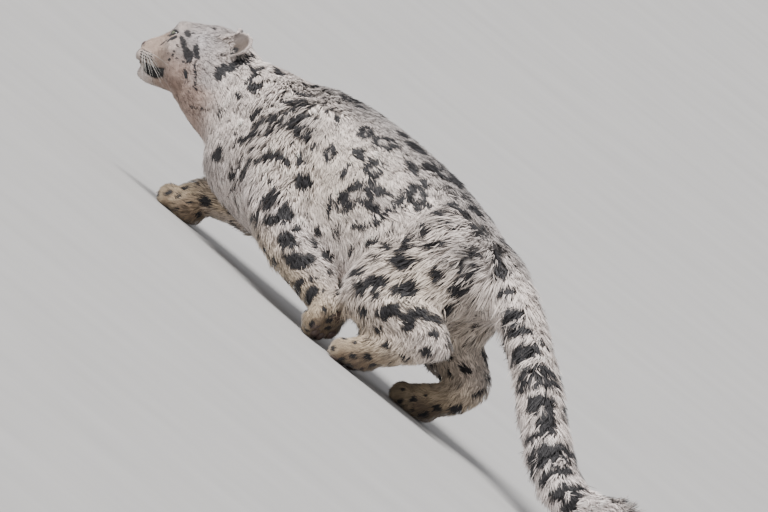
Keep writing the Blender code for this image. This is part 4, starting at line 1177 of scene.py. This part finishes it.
class Coat:
    """What the locks need to know about the skin."""

    def __init__(self, skin, rows):
        mesh = skin.data
        self.rows = rows
        self.points = points_of(mesh)
        self.triangles = triangles_of(mesh)
        self.edges = edges_of(mesh)
        self.normals = unit(spread(normals_of(self.points, self.triangles), self.edges, 2))
        self.lie, self.coat, self.group, self.names = coat_fields(self.points, self.normals)
        short = smoothstep(15, 10, self.coat[:, 1])
        self.lie = spread(self.lie, self.edges, 40, 0.5 * (1 - short))
        self.lie = unit(self.lie - self.normals * np.sum(self.lie * self.normals, axis=1)[:, None])
        self.local = to_head(self.points)
        self.bare = self.bare_skin()

    def bare_skin(self):
        """Where no lock grows: in the eyes and mouth, on the nose and under the soles."""
        x, y, z = self.local.T
        bare = (self.points[:, 2] < 0.004) & (self.normals[:, 2] < -0.3)
        for side in (-1, 1):
            centre, look, across, up = eye_frame(side)
            offset = self.local - centre
            near = (offset @ look > -0.002) & (np.linalg.norm(offset, axis=1) < 0.026)
            bare |= near & (outside_lids(offset @ across, offset @ up) < 0.0026)
        nose = (self.local - NOSE_PLACE) / NOSE_RADII
        nose[:, 0] /= nose_taper(nose[:, 2])
        bare |= (nose ** 2).sum(axis=1) < 0.95
        bare |= (np.abs(z - mouth_line(y)) < 0.0016) & (y < 0.069) & (np.abs(x) < 0.05)
        bare |= (np.abs(x) < 0.0016) & (y < 0.02) & (z < -0.008) & (z > -0.034)
        return bare

    def grow(self, piece, name, pick, faces, count, clump, seed):
        """Makes one piece of the coat from the region and points that are picked."""
        rng = np.random.default_rng(seed)
        inside = (self.group == self.names.index(name)) & pick
        chosen = inside[self.triangles[:, 0]] & ~self.bare[self.triangles].all(axis=1)
        corners, weights = sow(self.points, self.triangles, self.coat[:, 3], chosen, count, rng)
        root = weigh(self.points, corners, weights)
        normal = unit(weigh(self.normals, corners, weights))
        lie = unit(weigh(self.lie, corners, weights))
        coat = weigh(self.coat, corners, weights)[:, :3] / 1000
        return self.build(piece, name, root, normal, lie, coat, faces, clump, rng)

    def grow_ear_hair(self, piece, count, seed):
        """Long pale hairs that cross the opening of each ear from its front edge."""
        rng = np.random.default_rng(seed)
        roots, lies, normals = [], [], []
        for side in (-1, 1):
            axis, across, opening = ear_frame(side)
            offset = self.local - np.array((side * EAR_PLACE[0], EAR_PLACE[1], EAR_PLACE[2]))
            along, wide = offset @ axis, offset @ across
            chosen = on_ears(self.local) & (self.local[:, 0] * side > 0) & (along < 0.018)
            chosen &= ((self.normals @ HEAD_AXES) @ opening > 0.1) & (wide > -0.012)
            corners, weights = sow(
                self.points, self.triangles, self.coat[:, 3], chosen[self.triangles].all(axis=1), count // 2, rng
            )
            roots.append(weigh(self.points, corners, weights))
            fan = axis - across * 0.55 * rng.random(len(corners))[:, None] + opening * 0.25
            lies.append(unit(fan) @ HEAD_AXES.T)
            normals.append(np.tile(opening @ HEAD_AXES.T, (len(corners), 1)))
        root, lie, normal = np.concatenate(roots), np.concatenate(lies), np.concatenate(normals)
        coat = np.stack((rng.uniform(0.001, 0.003, len(root)), rng.uniform(0.007, 0.015, len(root))), axis=1)
        coat = np.column_stack((coat, np.full(len(root), 0.0006)))
        return self.build(piece, "ears", root, normal, lie, coat, LOCK_FACES, 0.2, rng, CHIN)

    def build(self, piece, name, root, normal, lie, coat, faces, clump, rng, colour=None):
        """The mesh of a piece of the coat, from its roots and their lie."""
        count = len(root)
        depth, length, width = coat.T
        across = np.cross(normal, lie)
        # Locks in a clump share a turn, a rise and a length, and lean together at the tip
        leaders = rng.permutation(count)[: max(count // 16, 1)]
        tree = KDTree(len(leaders))
        for k, index in enumerate(leaders):
            tree.insert(root[index], k)
        tree.balance()
        mine = np.array([tree.find(p)[1] for p in root])
        shared = rng.normal(size=(len(leaders), 3))[mine]
        own = rng.normal(size=(count, 3))
        turn = 0.20 * shared[:, 0] + 0.13 * own[:, 0] + 0.35 * noise(root, 0.05)
        lie = unit(lie * np.cos(turn)[:, None] + across * np.sin(turn)[:, None])
        across = np.cross(normal, lie)
        reach = length * np.clip(1 + 0.12 * shared[:, 1] + 0.16 * own[:, 1], 0.5, 1.5)
        rise = depth * np.clip(0.86 + 0.12 * shared[:, 2] + 0.13 * own[:, 2], 0.4, 1.15)
        bend = across * (0.10 * own[:, 0] * reach)[:, None]
        start = root - normal * 0.0008
        half = root + lie * (0.42 * reach)[:, None] + normal * (0.70 * rise)[:, None] + bend * 0.4
        tip = root + lie * reach[:, None] + normal * rise[:, None] + bend
        lead_tip = tip[leaders][mine]
        gather = clump * np.exp(-((np.linalg.norm(tip - lead_tip, axis=1) / (0.9 * length)) ** 2))
        tip = mix(tip, lead_tip, gather)
        half = mix(half, half[leaders][mine], gather * 0.35)
        thick = normal * (0.40 * width)[:, None]
        broad = across * (0.5 * width * np.clip(1 + 0.25 * own[:, 2], 0.5, 1.6))[:, None]
        if faces is LOCK_FACES:
            verts = np.stack((start, half - broad, half + broad, half + thick, tip), axis=1)
            level = np.array((0, 1, 1, 1, 2))
            slopes = (normal, normal - across * 0.5, normal + across * 0.5, normal, normal + lie * 0.2)
        else:
            verts = np.stack((start - broad, start + broad, start + thick * 1.6, tip), axis=1)
            level = np.array((0, 0, 0, 2))
            slopes = (normal - across * 0.5, normal + across * 0.5, normal, normal + lie * 0.2)
        verts[:, :, 2] = np.maximum(verts[:, :, 2], 0.0005)
        seen = root + (tip - root) * 0.55
        colours = self.shades(root, seen, normal, own, shared, name, level)
        if colour is not None:
            colours = np.tile(colour, (count, len(level), 1)) * np.clip(1 + 0.10 * own[:, :1, None], 0.6, 1.15)
        place = unwrap(root, name)
        local = patch_places(faces)
        uv = place[:, None, :] + (local * PATCH)[None]
        item = lock_mesh(piece, verts, faces, colours, uv, np.stack(slopes, axis=1))
        print("coat piece", piece, count * len(faces), "triangles")
        return item

    def shades(self, root, seen, normal, own, shared, name, level):
        """Colour at the root, the middle and the tip of each lock, with painted shade at the root and painted light at
        the tip.
        """
        rng = np.random.default_rng(len(root))
        colour, black, local = painted(seen, normal, self.rows)
        if name in ("face", "crown", "ears"):
            colour = face_paint(to_head(root), colour, normal)
        torn = 0.0 if name in ("face", "crown", "ears") else 0.12
        black = smoothstep(0.15, 0.50, black + 0.15 * rng.normal(size=len(black)) + torn * shared[:, 1])
        # Single dark locks between the marks, most on the neck, shoulders and back
        flecks = {"neck": 0.16, "chest": 0.15, "loin": 0.16, "crown": 0.14, "face": 0.06, "tail": 0.07}.get(name, 0.07)
        spine = smoothstep(0.34, 0.42, root[:, 2])
        fleck = rng.random(len(black)) < flecks * (1 + 1.5 * spine)
        black = np.where(fleck, np.maximum(black, rng.uniform(0.3, 0.85, len(black))), black)
        streak = 0.24 * noise(root, 0.016) + 0.12 * noise(root, 0.045)
        if name in ("face", "crown", "ears"):
            streak *= 0.5
        tone = np.clip(1 + 0.07 * own[:, 1] + 0.08 * shared[:, 0] + streak, 0.5, 1.25)[:, None]
        middle = mix(colour * tone, BLACK * 1.2, black)
        # Painted shade: the root is darker than the middle, as shade down among the roots
        base = middle * np.array((0.84, 0.81, 0.78))
        base = mix(base, SPINE_GREY * 0.45, 0.30 * black)
        # Painted light: the tip is a little lighter; a quarter of the tips are darkened at random
        end = mix(np.clip(middle * 1.05, 0, 0.92), BLACK, 0.15 * (rng.random(len(black)) < 0.25))
        return np.stack((base, middle, end), axis=1)[:, level]


def grow_coat(skin, rows):
    coat = Coat(skin, rows)
    left = coat.points[:, 0] > SHIFT[0]
    left_of_head = coat.local[:, 0] > 0
    every = np.ones(len(left), bool)
    short = coat.coat[:, 1] < 12.5
    plans = [
        ("coat_face", "face", every, SPIKE_FACES, 30000, 0.25),
        ("coat_crown_left", "crown", left_of_head, LOCK_FACES, 16000, 0.35),
        ("coat_crown_right", "crown", ~left_of_head, LOCK_FACES, 16000, 0.35),
        ("coat_ears", "ears", every, LOCK_FACES, 7000, 0.15),
    ]
    plans += [
        ("coat_neck", "neck", every, LOCK_FACES, 26000, 0.45),
        ("coat_chest_left", "chest", left, LOCK_FACES, 21000, 0.5),
        ("coat_chest_right", "chest", ~left, LOCK_FACES, 21000, 0.5),
        ("coat_loin_left", "loin", left, LOCK_FACES, 21000, 0.5),
        ("coat_loin_right", "loin", ~left, LOCK_FACES, 21000, 0.5),
        ("coat_tail", "tail", every, LOCK_FACES, 25000, 0.5),
    ]
    for limb in ("foreleg_left", "foreleg_right", "hindleg_left", "hindleg_right"):
        plans.append(("coat_" + limb, limb, ~short, LOCK_FACES, 9000, 0.4))
        plans.append(("coat_" + limb.replace("leg", "paw"), limb, short, SPIKE_FACES, 7000, 0.3))
    pieces = []
    for seed, (piece, name, pick, faces, count, clump) in enumerate(plans):
        pieces.append(coat.grow(piece, name, pick, faces, count, clump, seed=100 + seed))
    pieces.append(coat.grow_ear_hair("coat_ear_hair", 360, seed=90))
    return pieces


def paint_skin(skin, rows):
    mesh = skin.data
    points = points_of(mesh)
    triangles = triangles_of(mesh)
    normals = normals_of(points, triangles)
    colour, black, local = painted(points, normals, rows)
    colour = mix(colour, BLACK * 1.3, smoothstep(0.2, 0.8, black))
    head = local[:, 1] < 0.24
    colour[head] = face_paint(local[head], colour[head], normals[head])
    # Painted shade: the skin behind the face is darkened, as the shade deep under the long coat
    under = smoothstep(0.10, 0.20, local[:, 1])
    colour = colour * (1 - 0.35 * under)[:, None]
    paint(mesh, colour)
    lie, _, _, _ = coat_fields(points, normals)
    across = np.cross(normals, lie)
    flat = np.stack(
        (np.sum(points * across, axis=1), np.sum(points * lie, axis=1), np.sum(points * normals, axis=1)), axis=1
    )
    layer = mesh.attributes.new("lie", "FLOAT_VECTOR", "POINT")
    layer.data.foreach_set("vector", flat.astype(np.float32).ravel())


# Materials


def nodes_of(name):
    made = bpy.data.materials.new(name)
    made.use_nodes = True
    tree = made.node_tree
    return made, tree, tree.nodes["Principled BSDF"]


def add_node(tree, kind, **values):
    node = tree.nodes.new(kind)
    for key, value in values.items():
        setattr(node, key, value)
    return node


def noise_node(tree, scale, detail=3.0, vector=None):
    node = add_node(tree, "ShaderNodeTexNoise")
    node.inputs["Scale"].default_value = scale
    node.inputs["Detail"].default_value = detail
    if vector is None:
        vector = add_node(tree, "ShaderNodeTexCoord").outputs["Object"]
    tree.links.new(vector, node.inputs["Vector"])
    return node


def ramp_node(tree, factor, stops):
    node = add_node(tree, "ShaderNodeValToRGB")
    elements = node.color_ramp.elements
    while len(elements) < len(stops):
        elements.new(0.5)
    for element, (place, colour) in zip(elements, stops):
        element.position = place
        element.color = (*colour, 1.0)
    tree.links.new(factor, node.inputs["Fac"])
    return node


def bump_node(tree, height, strength, distance, shader):
    node = add_node(tree, "ShaderNodeBump")
    node.inputs["Strength"].default_value = strength
    node.inputs["Distance"].default_value = distance
    tree.links.new(height, node.inputs["Height"])
    tree.links.new(node.outputs["Normal"], shader.inputs["Normal"])
    return node


def varied(tree, colour, noise_output, low, high):
    """The colour made darker and lighter by a noise."""
    grade = ramp_node(tree, noise_output, ((0.3, (low,) * 3), (0.7, (high,) * 3)))
    mixed = add_node(tree, "ShaderNodeMix", data_type="RGBA", blend_type="MULTIPLY")
    mixed.inputs["Factor"].default_value = 1.0
    tree.links.new(colour, mixed.inputs["A"])
    tree.links.new(grade.outputs["Color"], mixed.inputs["B"])
    return mixed.outputs["Result"]


def fur_material():
    made, tree, shader = nodes_of("fur")
    colour = add_node(tree, "ShaderNodeAttribute", attribute_name="coat").outputs["Color"]
    strands = noise_node(tree, 420.0, 2.0)
    tree.links.new(varied(tree, colour, strands.outputs["Fac"], 0.86, 1.10), shader.inputs["Base Color"])
    rough = noise_node(tree, 160.0, 2.0)
    grade = ramp_node(tree, rough.outputs["Fac"], ((0.3, (0.52,) * 3), (0.7, (0.70,) * 3)))
    tree.links.new(grade.outputs["Color"], shader.inputs["Roughness"])
    shader.inputs["Sheen Weight"].default_value = 0.25
    shader.inputs["Sheen Roughness"].default_value = 0.45
    shader.inputs["Specular IOR Level"].default_value = 0.35
    return made


def skin_material():
    made, tree, shader = nodes_of("short fur")
    colour = add_node(tree, "ShaderNodeAttribute", attribute_name="coat").outputs["Color"]
    lie = add_node(tree, "ShaderNodeAttribute", attribute_name="lie").outputs["Vector"]
    stretch = add_node(tree, "ShaderNodeMapping")
    stretch.inputs["Scale"].default_value = (1.0, 0.16, 1.0)
    tree.links.new(lie, stretch.inputs["Vector"])
    hairs = noise_node(tree, 1500.0, 3.0, stretch.outputs["Vector"])
    tree.links.new(varied(tree, colour, hairs.outputs["Fac"], 0.80, 1.12), shader.inputs["Base Color"])
    shader.inputs["Roughness"].default_value = 0.68
    shader.inputs["Sheen Weight"].default_value = 0.2
    shader.inputs["Specular IOR Level"].default_value = 0.3
    bump_node(tree, hairs.outputs["Fac"], 0.55, 0.0008, shader)
    return made


def leather_material():
    made, tree, shader = nodes_of("bare skin")
    colour = add_node(tree, "ShaderNodeAttribute", attribute_name="coat").outputs["Color"]
    pores = add_node(tree, "ShaderNodeTexVoronoi")
    pores.inputs["Scale"].default_value = 900.0
    tree.links.new(add_node(tree, "ShaderNodeTexCoord").outputs["Object"], pores.inputs["Vector"])
    tree.links.new(varied(tree, colour, pores.outputs["Distance"], 0.85, 1.1), shader.inputs["Base Color"])
    shader.inputs["Roughness"].default_value = 0.42
    shader.inputs["Coat Weight"].default_value = 0.15
    shader.inputs["Coat Roughness"].default_value = 0.3
    bump_node(tree, pores.outputs["Distance"], 0.5, 0.0004, shader)
    return made


def horn_material(name, root, tip, roughness):
    made, tree, shader = nodes_of(name)
    streaks = noise_node(tree, 500.0, 3.0)
    grade = ramp_node(tree, streaks.outputs["Fac"], ((0.3, root), (0.75, tip)))
    tree.links.new(grade.outputs["Color"], shader.inputs["Base Color"])
    shader.inputs["Roughness"].default_value = roughness
    return made


def eye_material():
    made, tree, shader = nodes_of("eye")
    place = add_node(tree, "ShaderNodeAttribute", attribute_name="gaze").outputs["Vector"]
    split = add_node(tree, "ShaderNodeSeparateXYZ")
    tree.links.new(place, split.inputs["Vector"])
    flat = add_node(tree, "ShaderNodeCombineXYZ")
    tree.links.new(split.outputs["X"], flat.inputs["X"])
    tree.links.new(split.outputs["Y"], flat.inputs["Y"])
    length = add_node(tree, "ShaderNodeVectorMath", operation="LENGTH")
    tree.links.new(flat.outputs["Vector"], length.inputs[0])
    fibres = noise_node(tree, 5.0, 4.0, place)
    # Pupil, grey-green iris and the ball round it, all painted darker than the eye's own colour as the shade under the
    # lids
    ring = ramp_node(
        tree,
        length.outputs["Value"],
        (
            (0.0, (0.004, 0.004, 0.005)),
            (0.27, (0.004, 0.004, 0.005)),
            (0.30, (0.08, 0.085, 0.05)),
            (0.45, (0.15, 0.165, 0.105)),
            (0.62, (0.08, 0.095, 0.065)),
            (0.70, (0.010, 0.010, 0.010)),
            (0.78, (0.02, 0.016, 0.014)),
            (1.0, (0.05, 0.04, 0.035)),
        ),
    )
    tree.links.new(varied(tree, ring.outputs["Color"], fibres.outputs["Fac"], 0.6, 1.25), shader.inputs["Base Color"])
    shader.inputs["Roughness"].default_value = 0.30
    shader.inputs["Coat Weight"].default_value = 0.45
    shader.inputs["Coat Roughness"].default_value = 0.03
    return made


# Eyes, nose, whiskers, claws and pads


def dome(rows, columns):
    """Points of a ball as unit directions, with faces."""
    verts = [(0.0, 0.0, 1.0)]
    for i in range(1, rows):
        fall = math.pi * i / rows
        for k in range(columns):
            turn = 2 * math.pi * k / columns
            verts.append((math.sin(fall) * math.cos(turn), math.sin(fall) * math.sin(turn), math.cos(fall)))
    verts.append((0.0, 0.0, -1.0))
    faces = []
    for k in range(columns):
        n = (k + 1) % columns
        faces.append((0, 1 + k, 1 + n))
        for i in range(rows - 2):
            a, b = 1 + i * columns + k, 1 + i * columns + n
            faces.append((a, a + columns, b + columns, b))
        last = 1 + (rows - 2) * columns
        faces.append((last + n, last + k, len(verts) - 1))
    return np.array(verts), faces


def shade_smooth(item):
    item.data.polygons.foreach_set("use_smooth", np.ones(len(item.data.polygons), bool))


def fix_normals(item):
    bm = bmesh.new()
    bm.from_mesh(item.data)
    bmesh.ops.recalc_face_normals(bm, faces=bm.faces)
    bm.to_mesh(item.data)
    bm.free()


def make_eye(side, material):
    centre, look, across, up = eye_frame(side)
    # Both eyes look ahead a little more than they face
    ahead = unit(look + np.array((0, -0.30, 0)))
    across = unit(across - ahead * (across @ ahead))
    up = np.cross(ahead, across)
    ball, faces = dome(40, 48)
    gaze = ball.copy()
    bulge = 0.0009 * smoothstep(0.76, 0.95, ball[:, 2])
    local = centre + (ball[:, :1] * across + ball[:, 1:2] * up + ball[:, 2:] * ahead) * (EYE_RADIUS + bulge)[:, None]
    item = new_object("eyeball_left" if side > 0 else "eyeball_right", from_head(local), faces)
    fix_normals(item)
    layer = item.data.attributes.new("gaze", "FLOAT_VECTOR", "POINT")
    layer.data.foreach_set("vector", gaze.astype(np.float32).ravel())
    item.data.materials.append(material)
    shade_smooth(item)
    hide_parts("eye_left" if side > 0 else "eye_right")
    return item


def tube_along(path, radii, sides=8, closed=False):
    """Verts and faces of a round tube along points."""
    path = np.asarray(path, float)
    count = len(path)
    if closed:
        tangent = np.roll(path, -1, 0) - np.roll(path, 1, 0)
    else:
        tangent = np.gradient(path, axis=0)
    tangent = unit(tangent)
    side = unit(np.cross(tangent, np.array((0.31, 0.17, 0.93))))
    over = np.cross(side, tangent)
    verts, faces = [], []
    for i in range(count):
        for k in range(sides):
            turn = 2 * math.pi * k / sides
            verts.append(path[i] + (side[i] * math.cos(turn) + over[i] * math.sin(turn)) * radii[i])
    for i in range(count if closed else count - 1):
        j = (i + 1) % count
        for k in range(sides):
            n = (k + 1) % sides
            faces.append((i * sides + k, i * sides + n, j * sides + n, j * sides + k))
    if not closed:
        faces.append(tuple(range(sides - 1, -1, -1)))
        faces.append(tuple((count - 1) * sides + k for k in range(sides)))
    return verts, faces


def make_lids(material):
    """The dark bare rims of the lids, lying on each eyeball."""
    verts, faces = [], []
    for side in (-1, 1):
        centre, look, across, up = eye_frame(side)
        path = []
        steps = 30
        for k in range(2 * steps):
            t = k / steps
            along = LID_HALF * (math.cos(math.pi * t))
            upper, lower = lid_heights(np.array((along,)))
            height = float(upper[0] if t < 1 else lower[0])
            flat = across * along + up * height
            ahead = math.sqrt(max((EYE_RADIUS + 0.0004) ** 2 - along ** 2 - height ** 2, 1e-6))
            path.append(centre + flat + look * ahead)
        path = np.array(path)
        path = path * 0.5 + (np.roll(path, 1, 0) + np.roll(path, -1, 0)) * 0.25
        tube, skin_faces = tube_along(path, np.full(len(path), 0.0009), 8, closed=True)
        offset = len(verts)
        verts += [from_head(v) for v in tube]
        faces += [tuple(i + offset for i in f) for f in skin_faces]
    item = new_object("lid_rims", verts, faces)
    fix_normals(item)
    paint(item.data, np.tile(np.array((0.012, 0.010, 0.010)), (len(verts), 1)))
    item.data.materials.append(material)
    shade_smooth(item)
    return item


def nose_taper(height):
    """How much narrower the nose is at a height, where -1 is its bottom and 1 its top."""
    return 0.62 + 0.38 * smoothstep(-0.9, 0.35, height)


def make_nose(material):
    ball, faces = dome(56, 64)
    # Poles to the sides, so that the front is evenly divided
    x, y, z = ball[:, 2], -ball[:, 0], ball[:, 1]
    taper = nose_taper(z)
    reach = np.ones(len(x))
    front = smoothstep(0.1, 0.6, -y)
    hole = np.zeros(len(x))
    for side in (-1, 1):
        away = np.hypot((x - side * 0.56) / 0.22, (z + 0.10 - 0.30 * (side * x - 0.5)) / 0.26)
        tail = np.hypot((x - side * 0.86) / 0.22, (z - 0.02) / 0.15)
        hole = np.maximum(hole, np.exp(-(away ** 2)) + 0.8 * np.exp(-(tail ** 2)))
    hole *= smoothstep(-0.15, 0.2, -y)
    reach -= 0.42 * np.clip(hole, 0, 1)
    reach -= 0.12 * np.exp(-((x / 0.07) ** 2)) * front * smoothstep(0.25, -0.2, z)
    reach += 0.05 * np.exp(-((x / 0.32) ** 2)) * front * smoothstep(-0.2, 0.3, z)
    radii = NOSE_RADII * np.array((1.05, 1.0, 1.0))
    local = np.stack((x * taper * radii[0], y * radii[1], z * radii[2]), axis=1) * reach[:, None] + NOSE_PLACE
    item = new_object("nose_leather", from_head(local), faces)
    fix_normals(item)
    pink = np.tile(np.array((0.080, 0.048, 0.043)), (len(x), 1))
    rim = np.clip(smoothstep(0.45, 0.95, np.abs(x)) * 0.8 + smoothstep(-0.2, -0.8, z) * 0.6, 0, 1)
    colour = mix(pink, np.array((0.045, 0.03, 0.028)), rim)
    # Painted shade: the nostril hollows are painted black
    colour = mix(colour, LIP_BLACK, np.clip(hole * 1.3, 0, 1))
    paint(item.data, colour)
    item.data.materials.append(material)
    shade_smooth(item)
    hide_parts("nose_pad")
    return item


def make_whiskers(skin, material):
    """Long white bristles in rows on the lip, and a few over each eye."""
    tree = BVHTree.FromPolygons(
        [tuple(p) for p in points_of(skin.data)], [tuple(t) for t in triangles_of(skin.data)]
    )
    rng = np.random.default_rng(9)
    verts, faces = [], []
    plans = []
    for side in (-1, 1):
        for row in range(4):
            for k in range(4):
                back, up = 12 + 5.6 * k + 1.5 * row, -10 - 5.0 * row - 1.0 * k
                out = np.array((side * 1.0, 0.42 + 0.10 * k, -0.28 - 0.16 * row + 0.10 * k))
                plans.append((side, back, up, out, 0.040 + 0.010 * k + 0.006 * rng.random(), -0.010))
        for k in range(3):
            out = np.array((side * (0.45 + 0.1 * k), 0.25, 0.9))
            plans.append((side, 72 + 4 * k, 58, out, 0.030 + 0.005 * rng.random(), 0.004))
    for side, back, up, out, length, sag in plans:
        start = from_head((side * 0.15, back / 1000, up / 1000))
        hit, _, _, _ = tree.ray_cast(Vector(start), Vector(HEAD_AXES @ np.array((-side, 0, 0))))
        if hit is None:
            continue
        root = to_head(np.array(hit)[None])[0]
        out = unit(out + 0.06 * rng.normal(size=3))
        path = []
        for i in range(9):
            t = i / 8
            bend = np.array((0, 0.22 * length * t * t, sag * t * t * 2))
            path.append(root - out * 0.002 + out * (length * t) + bend)
        path = np.array([from_head(p) for p in path])
        radii = 0.00034 * (1 - 0.85 * np.linspace(0, 1, 9))
        tube, tube_faces = tube_along(path, radii, 5)
        offset = len(verts)
        verts += tube
        faces += [tuple(i + offset for i in f) for f in tube_faces]
    item = new_object("whiskers", verts, faces)
    fix_normals(item)
    item.data.materials.append(material)
    shade_smooth(item)
    return item


# Each paw as the part's script places it: x, y, turn, nod, lift
PAWS = (
    (0.100, -0.095, 3, 72, 0.056),
    (-0.082, -0.728, 0, 0, 0.0),
    (0.101, 0.012, 3, 20, 0.013),
    (-0.091, 0.044, -3, 0, 0.0),
)
PAW_HALF_WIDTH = 0.046
TOE_GAPS = (-0.49, 0.0, 0.49)
TOE_FURROW = 0.0048
TOE_BULGE = 0.0016
TOES = ((-0.72, -0.024), (-0.26, -0.039), (0.26, -0.039), (0.72, -0.024))


def paw_matrix(paw):
    x, y, turn, nod, lift = paw
    turned = Matrix.Rotation(math.radians(turn), 4, "Z") @ Matrix.Rotation(math.radians(nod), 4, "X")
    return Matrix.Translation(here((x, y, lift))) @ turned


def make_claws(material):
    """Hooked claws, drawn back so that only their ends show between the toes' fur."""
    verts, faces = [], []
    for paw in PAWS:
        place = paw_matrix(paw)
        for across, ahead in TOES:
            start = Vector((across * PAW_HALF_WIDTH, ahead - 0.0165, 0.0175))
            path, radii = [], []
            for i in range(9):
                t = i / 8
                angle = t * 1.15
                point = start + Vector((0, -0.0125 * math.sin(angle), -0.0125 * (1 - math.cos(angle))))
                path.append(np.array(place @ point))
                radii.append(0.0019 * (1 - t) ** 0.7 + 0.0002)
            if min(p[2] for p in path) < 0.0008:
                path = [np.array((p[0], p[1], max(p[2], 0.0012))) for p in path]
            tube, tube_faces = tube_along(path, radii, 8)
            offset = len(verts)
            verts += tube
            faces += [tuple(i + offset for i in f) for f in tube_faces]
    item = new_object("claws", verts, faces)
    fix_normals(item)
    item.data.materials.append(material)
    shade_smooth(item)
    return item


def make_pads(material):
    """Bare pads under the two lifted feet."""
    verts, faces = [], []
    ball, ball_faces = dome(16, 20)
    for paw in (PAWS[0], PAWS[2]):
        place = paw_matrix(paw)
        blobs = [((0, 0.010, 0.0045), (0.023, 0.017, 0.0065))]
        blobs += [((a * PAW_HALF_WIDTH * 0.92, y - 0.004, 0.0035), (0.0095, 0.012, 0.0060)) for a, y in TOES]
        for centre, radii in blobs:
            offset = len(verts)
            for direction in ball:
                heart = 1 - 0.18 * max(0.0, direction[1]) * abs(direction[0])
                point = place @ (Vector(centre) + Vector(direction * np.array(radii) * heart))
                point.z = max(point.z, 0.0006)
                verts.append(np.array(point))
            faces += [tuple(i + offset for i in f) for f in ball_faces]
    item = new_object("foot_pads", verts, faces)
    fix_normals(item)
    paint(item.data, np.tile(np.array((0.085, 0.055, 0.045)), (len(verts), 1)))
    item.data.materials.append(material)
    shade_smooth(item)
    return item


# Floor, light and camera


def camera_axes():
    c, s = math.cos(CAMERA_TURN), math.sin(CAMERA_TURN)
    ce, se = math.cos(CAMERA_RISE), math.sin(CAMERA_RISE)
    level = np.array((-s, c, 0.0))
    steep = np.array((-c * se, -s * se, ce))
    back = np.array((c * ce, s * ce, se))
    cr, sr = math.cos(CAMERA_ROLL), math.sin(CAMERA_ROLL)
    return level * cr + steep * sr, steep * cr - level * sr, back


def add_camera():
    right, up, back = camera_axes()
    dx = (PHOTO_SIZE[0] / 2 - REFERENCE_PIXEL[0]) / PIXELS_PER_METRE
    dy = (REFERENCE_PIXEL[1] - PHOTO_SIZE[1] / 2) / PIXELS_PER_METRE
    target = here(REFERENCE_POINT) + right * dx + up * dy
    data = bpy.data.cameras.new("camera")
    data.sensor_width = 36.0
    data.lens = PIXELS_PER_METRE * data.sensor_width * CAMERA_DISTANCE / PHOTO_SIZE[0]
    data.clip_end = 2000.0
    item = bpy.data.objects.new("camera", data)
    turn = Matrix((tuple(right), tuple(up), tuple(back))).transposed().to_4x4()
    item.matrix_world = Matrix.Translation(target + back * CAMERA_DISTANCE) @ turn
    bpy.context.scene.collection.objects.link(item)
    bpy.context.scene.camera = item


def add_sun(name, direction, strength, angle, colour=(1, 1, 1)):
    data = bpy.data.lights.new(name, "SUN")
    data.energy = strength
    data.angle = math.radians(angle)
    data.color = colour
    item = bpy.data.objects.new(name, data)
    item.rotation_euler = Vector(direction).to_track_quat("Z", "Y").to_euler()
    bpy.context.scene.collection.objects.link(item)


def add_studio():
    made, tree, shader = nodes_of("floor")
    speckle = noise_node(tree, 3.0, 4.0)
    grade = ramp_node(tree, speckle.outputs["Fac"], ((0.3, (0.42, 0.415, 0.41)), (0.7, (0.46, 0.455, 0.45))))
    tree.links.new(grade.outputs["Color"], shader.inputs["Base Color"])
    shader.inputs["Roughness"].default_value = 0.9
    size = 600.0
    corners = [(-size, -size, 0), (size, -size, 0), (size, size, 0), (-size, size, 0)]
    floor = new_object("floor", corners, [(0, 1, 2, 3)])
    floor.data.materials.append(made)
    world = bpy.data.worlds.new("studio")
    bpy.context.scene.world = world
    world.use_nodes = True
    world.node_tree.nodes["Background"].inputs["Color"].default_value = (0.97, 0.97, 1.0, 1.0)
    world.node_tree.nodes["Background"].inputs["Strength"].default_value = 0.50
    right, up, back = camera_axes()
    add_sun("key light", up * 0.75 + back * 0.45 - right * 0.25 + np.array((0, 0, 0.5)), 6.2, 25, (1.0, 0.975, 0.955))
    add_sun("fill light", back + np.array((0, 0, 0.3)), 0.5, 60, (0.95, 0.97, 1.0))


def main():
    skin = make_skin()
    rows = gather_marks(skin)
    print("marks", len(rows))
    paint_skin(skin, rows)
    skin.data.materials.clear()
    skin.data.materials.append(skin_material())
    eyes = ("eye_left", "eye_right", "nose_pad")
    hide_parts(*[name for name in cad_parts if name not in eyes])
    print("skin triangles", len(triangles_of(skin.data)))
    fur = fur_material()
    coat = grow_coat(skin, rows)
    for piece in coat:
        piece.data.materials.append(fur)
    eye = eye_material()
    leather = leather_material()
    bristle = horn_material("bristle", (0.62, 0.60, 0.56), (0.80, 0.78, 0.74), 0.35)
    horn = horn_material("horn", (0.24, 0.19, 0.15), (0.50, 0.43, 0.34), 0.30)
    pieces = [skin, *coat, make_eye(1, eye), make_eye(-1, eye), make_lids(leather), make_nose(leather)]
    pieces += [make_whiskers(skin, bristle), make_claws(horn), make_pads(leather)]
    for piece in pieces:
        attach(piece, "root")
    add_studio()
    add_camera()


main()
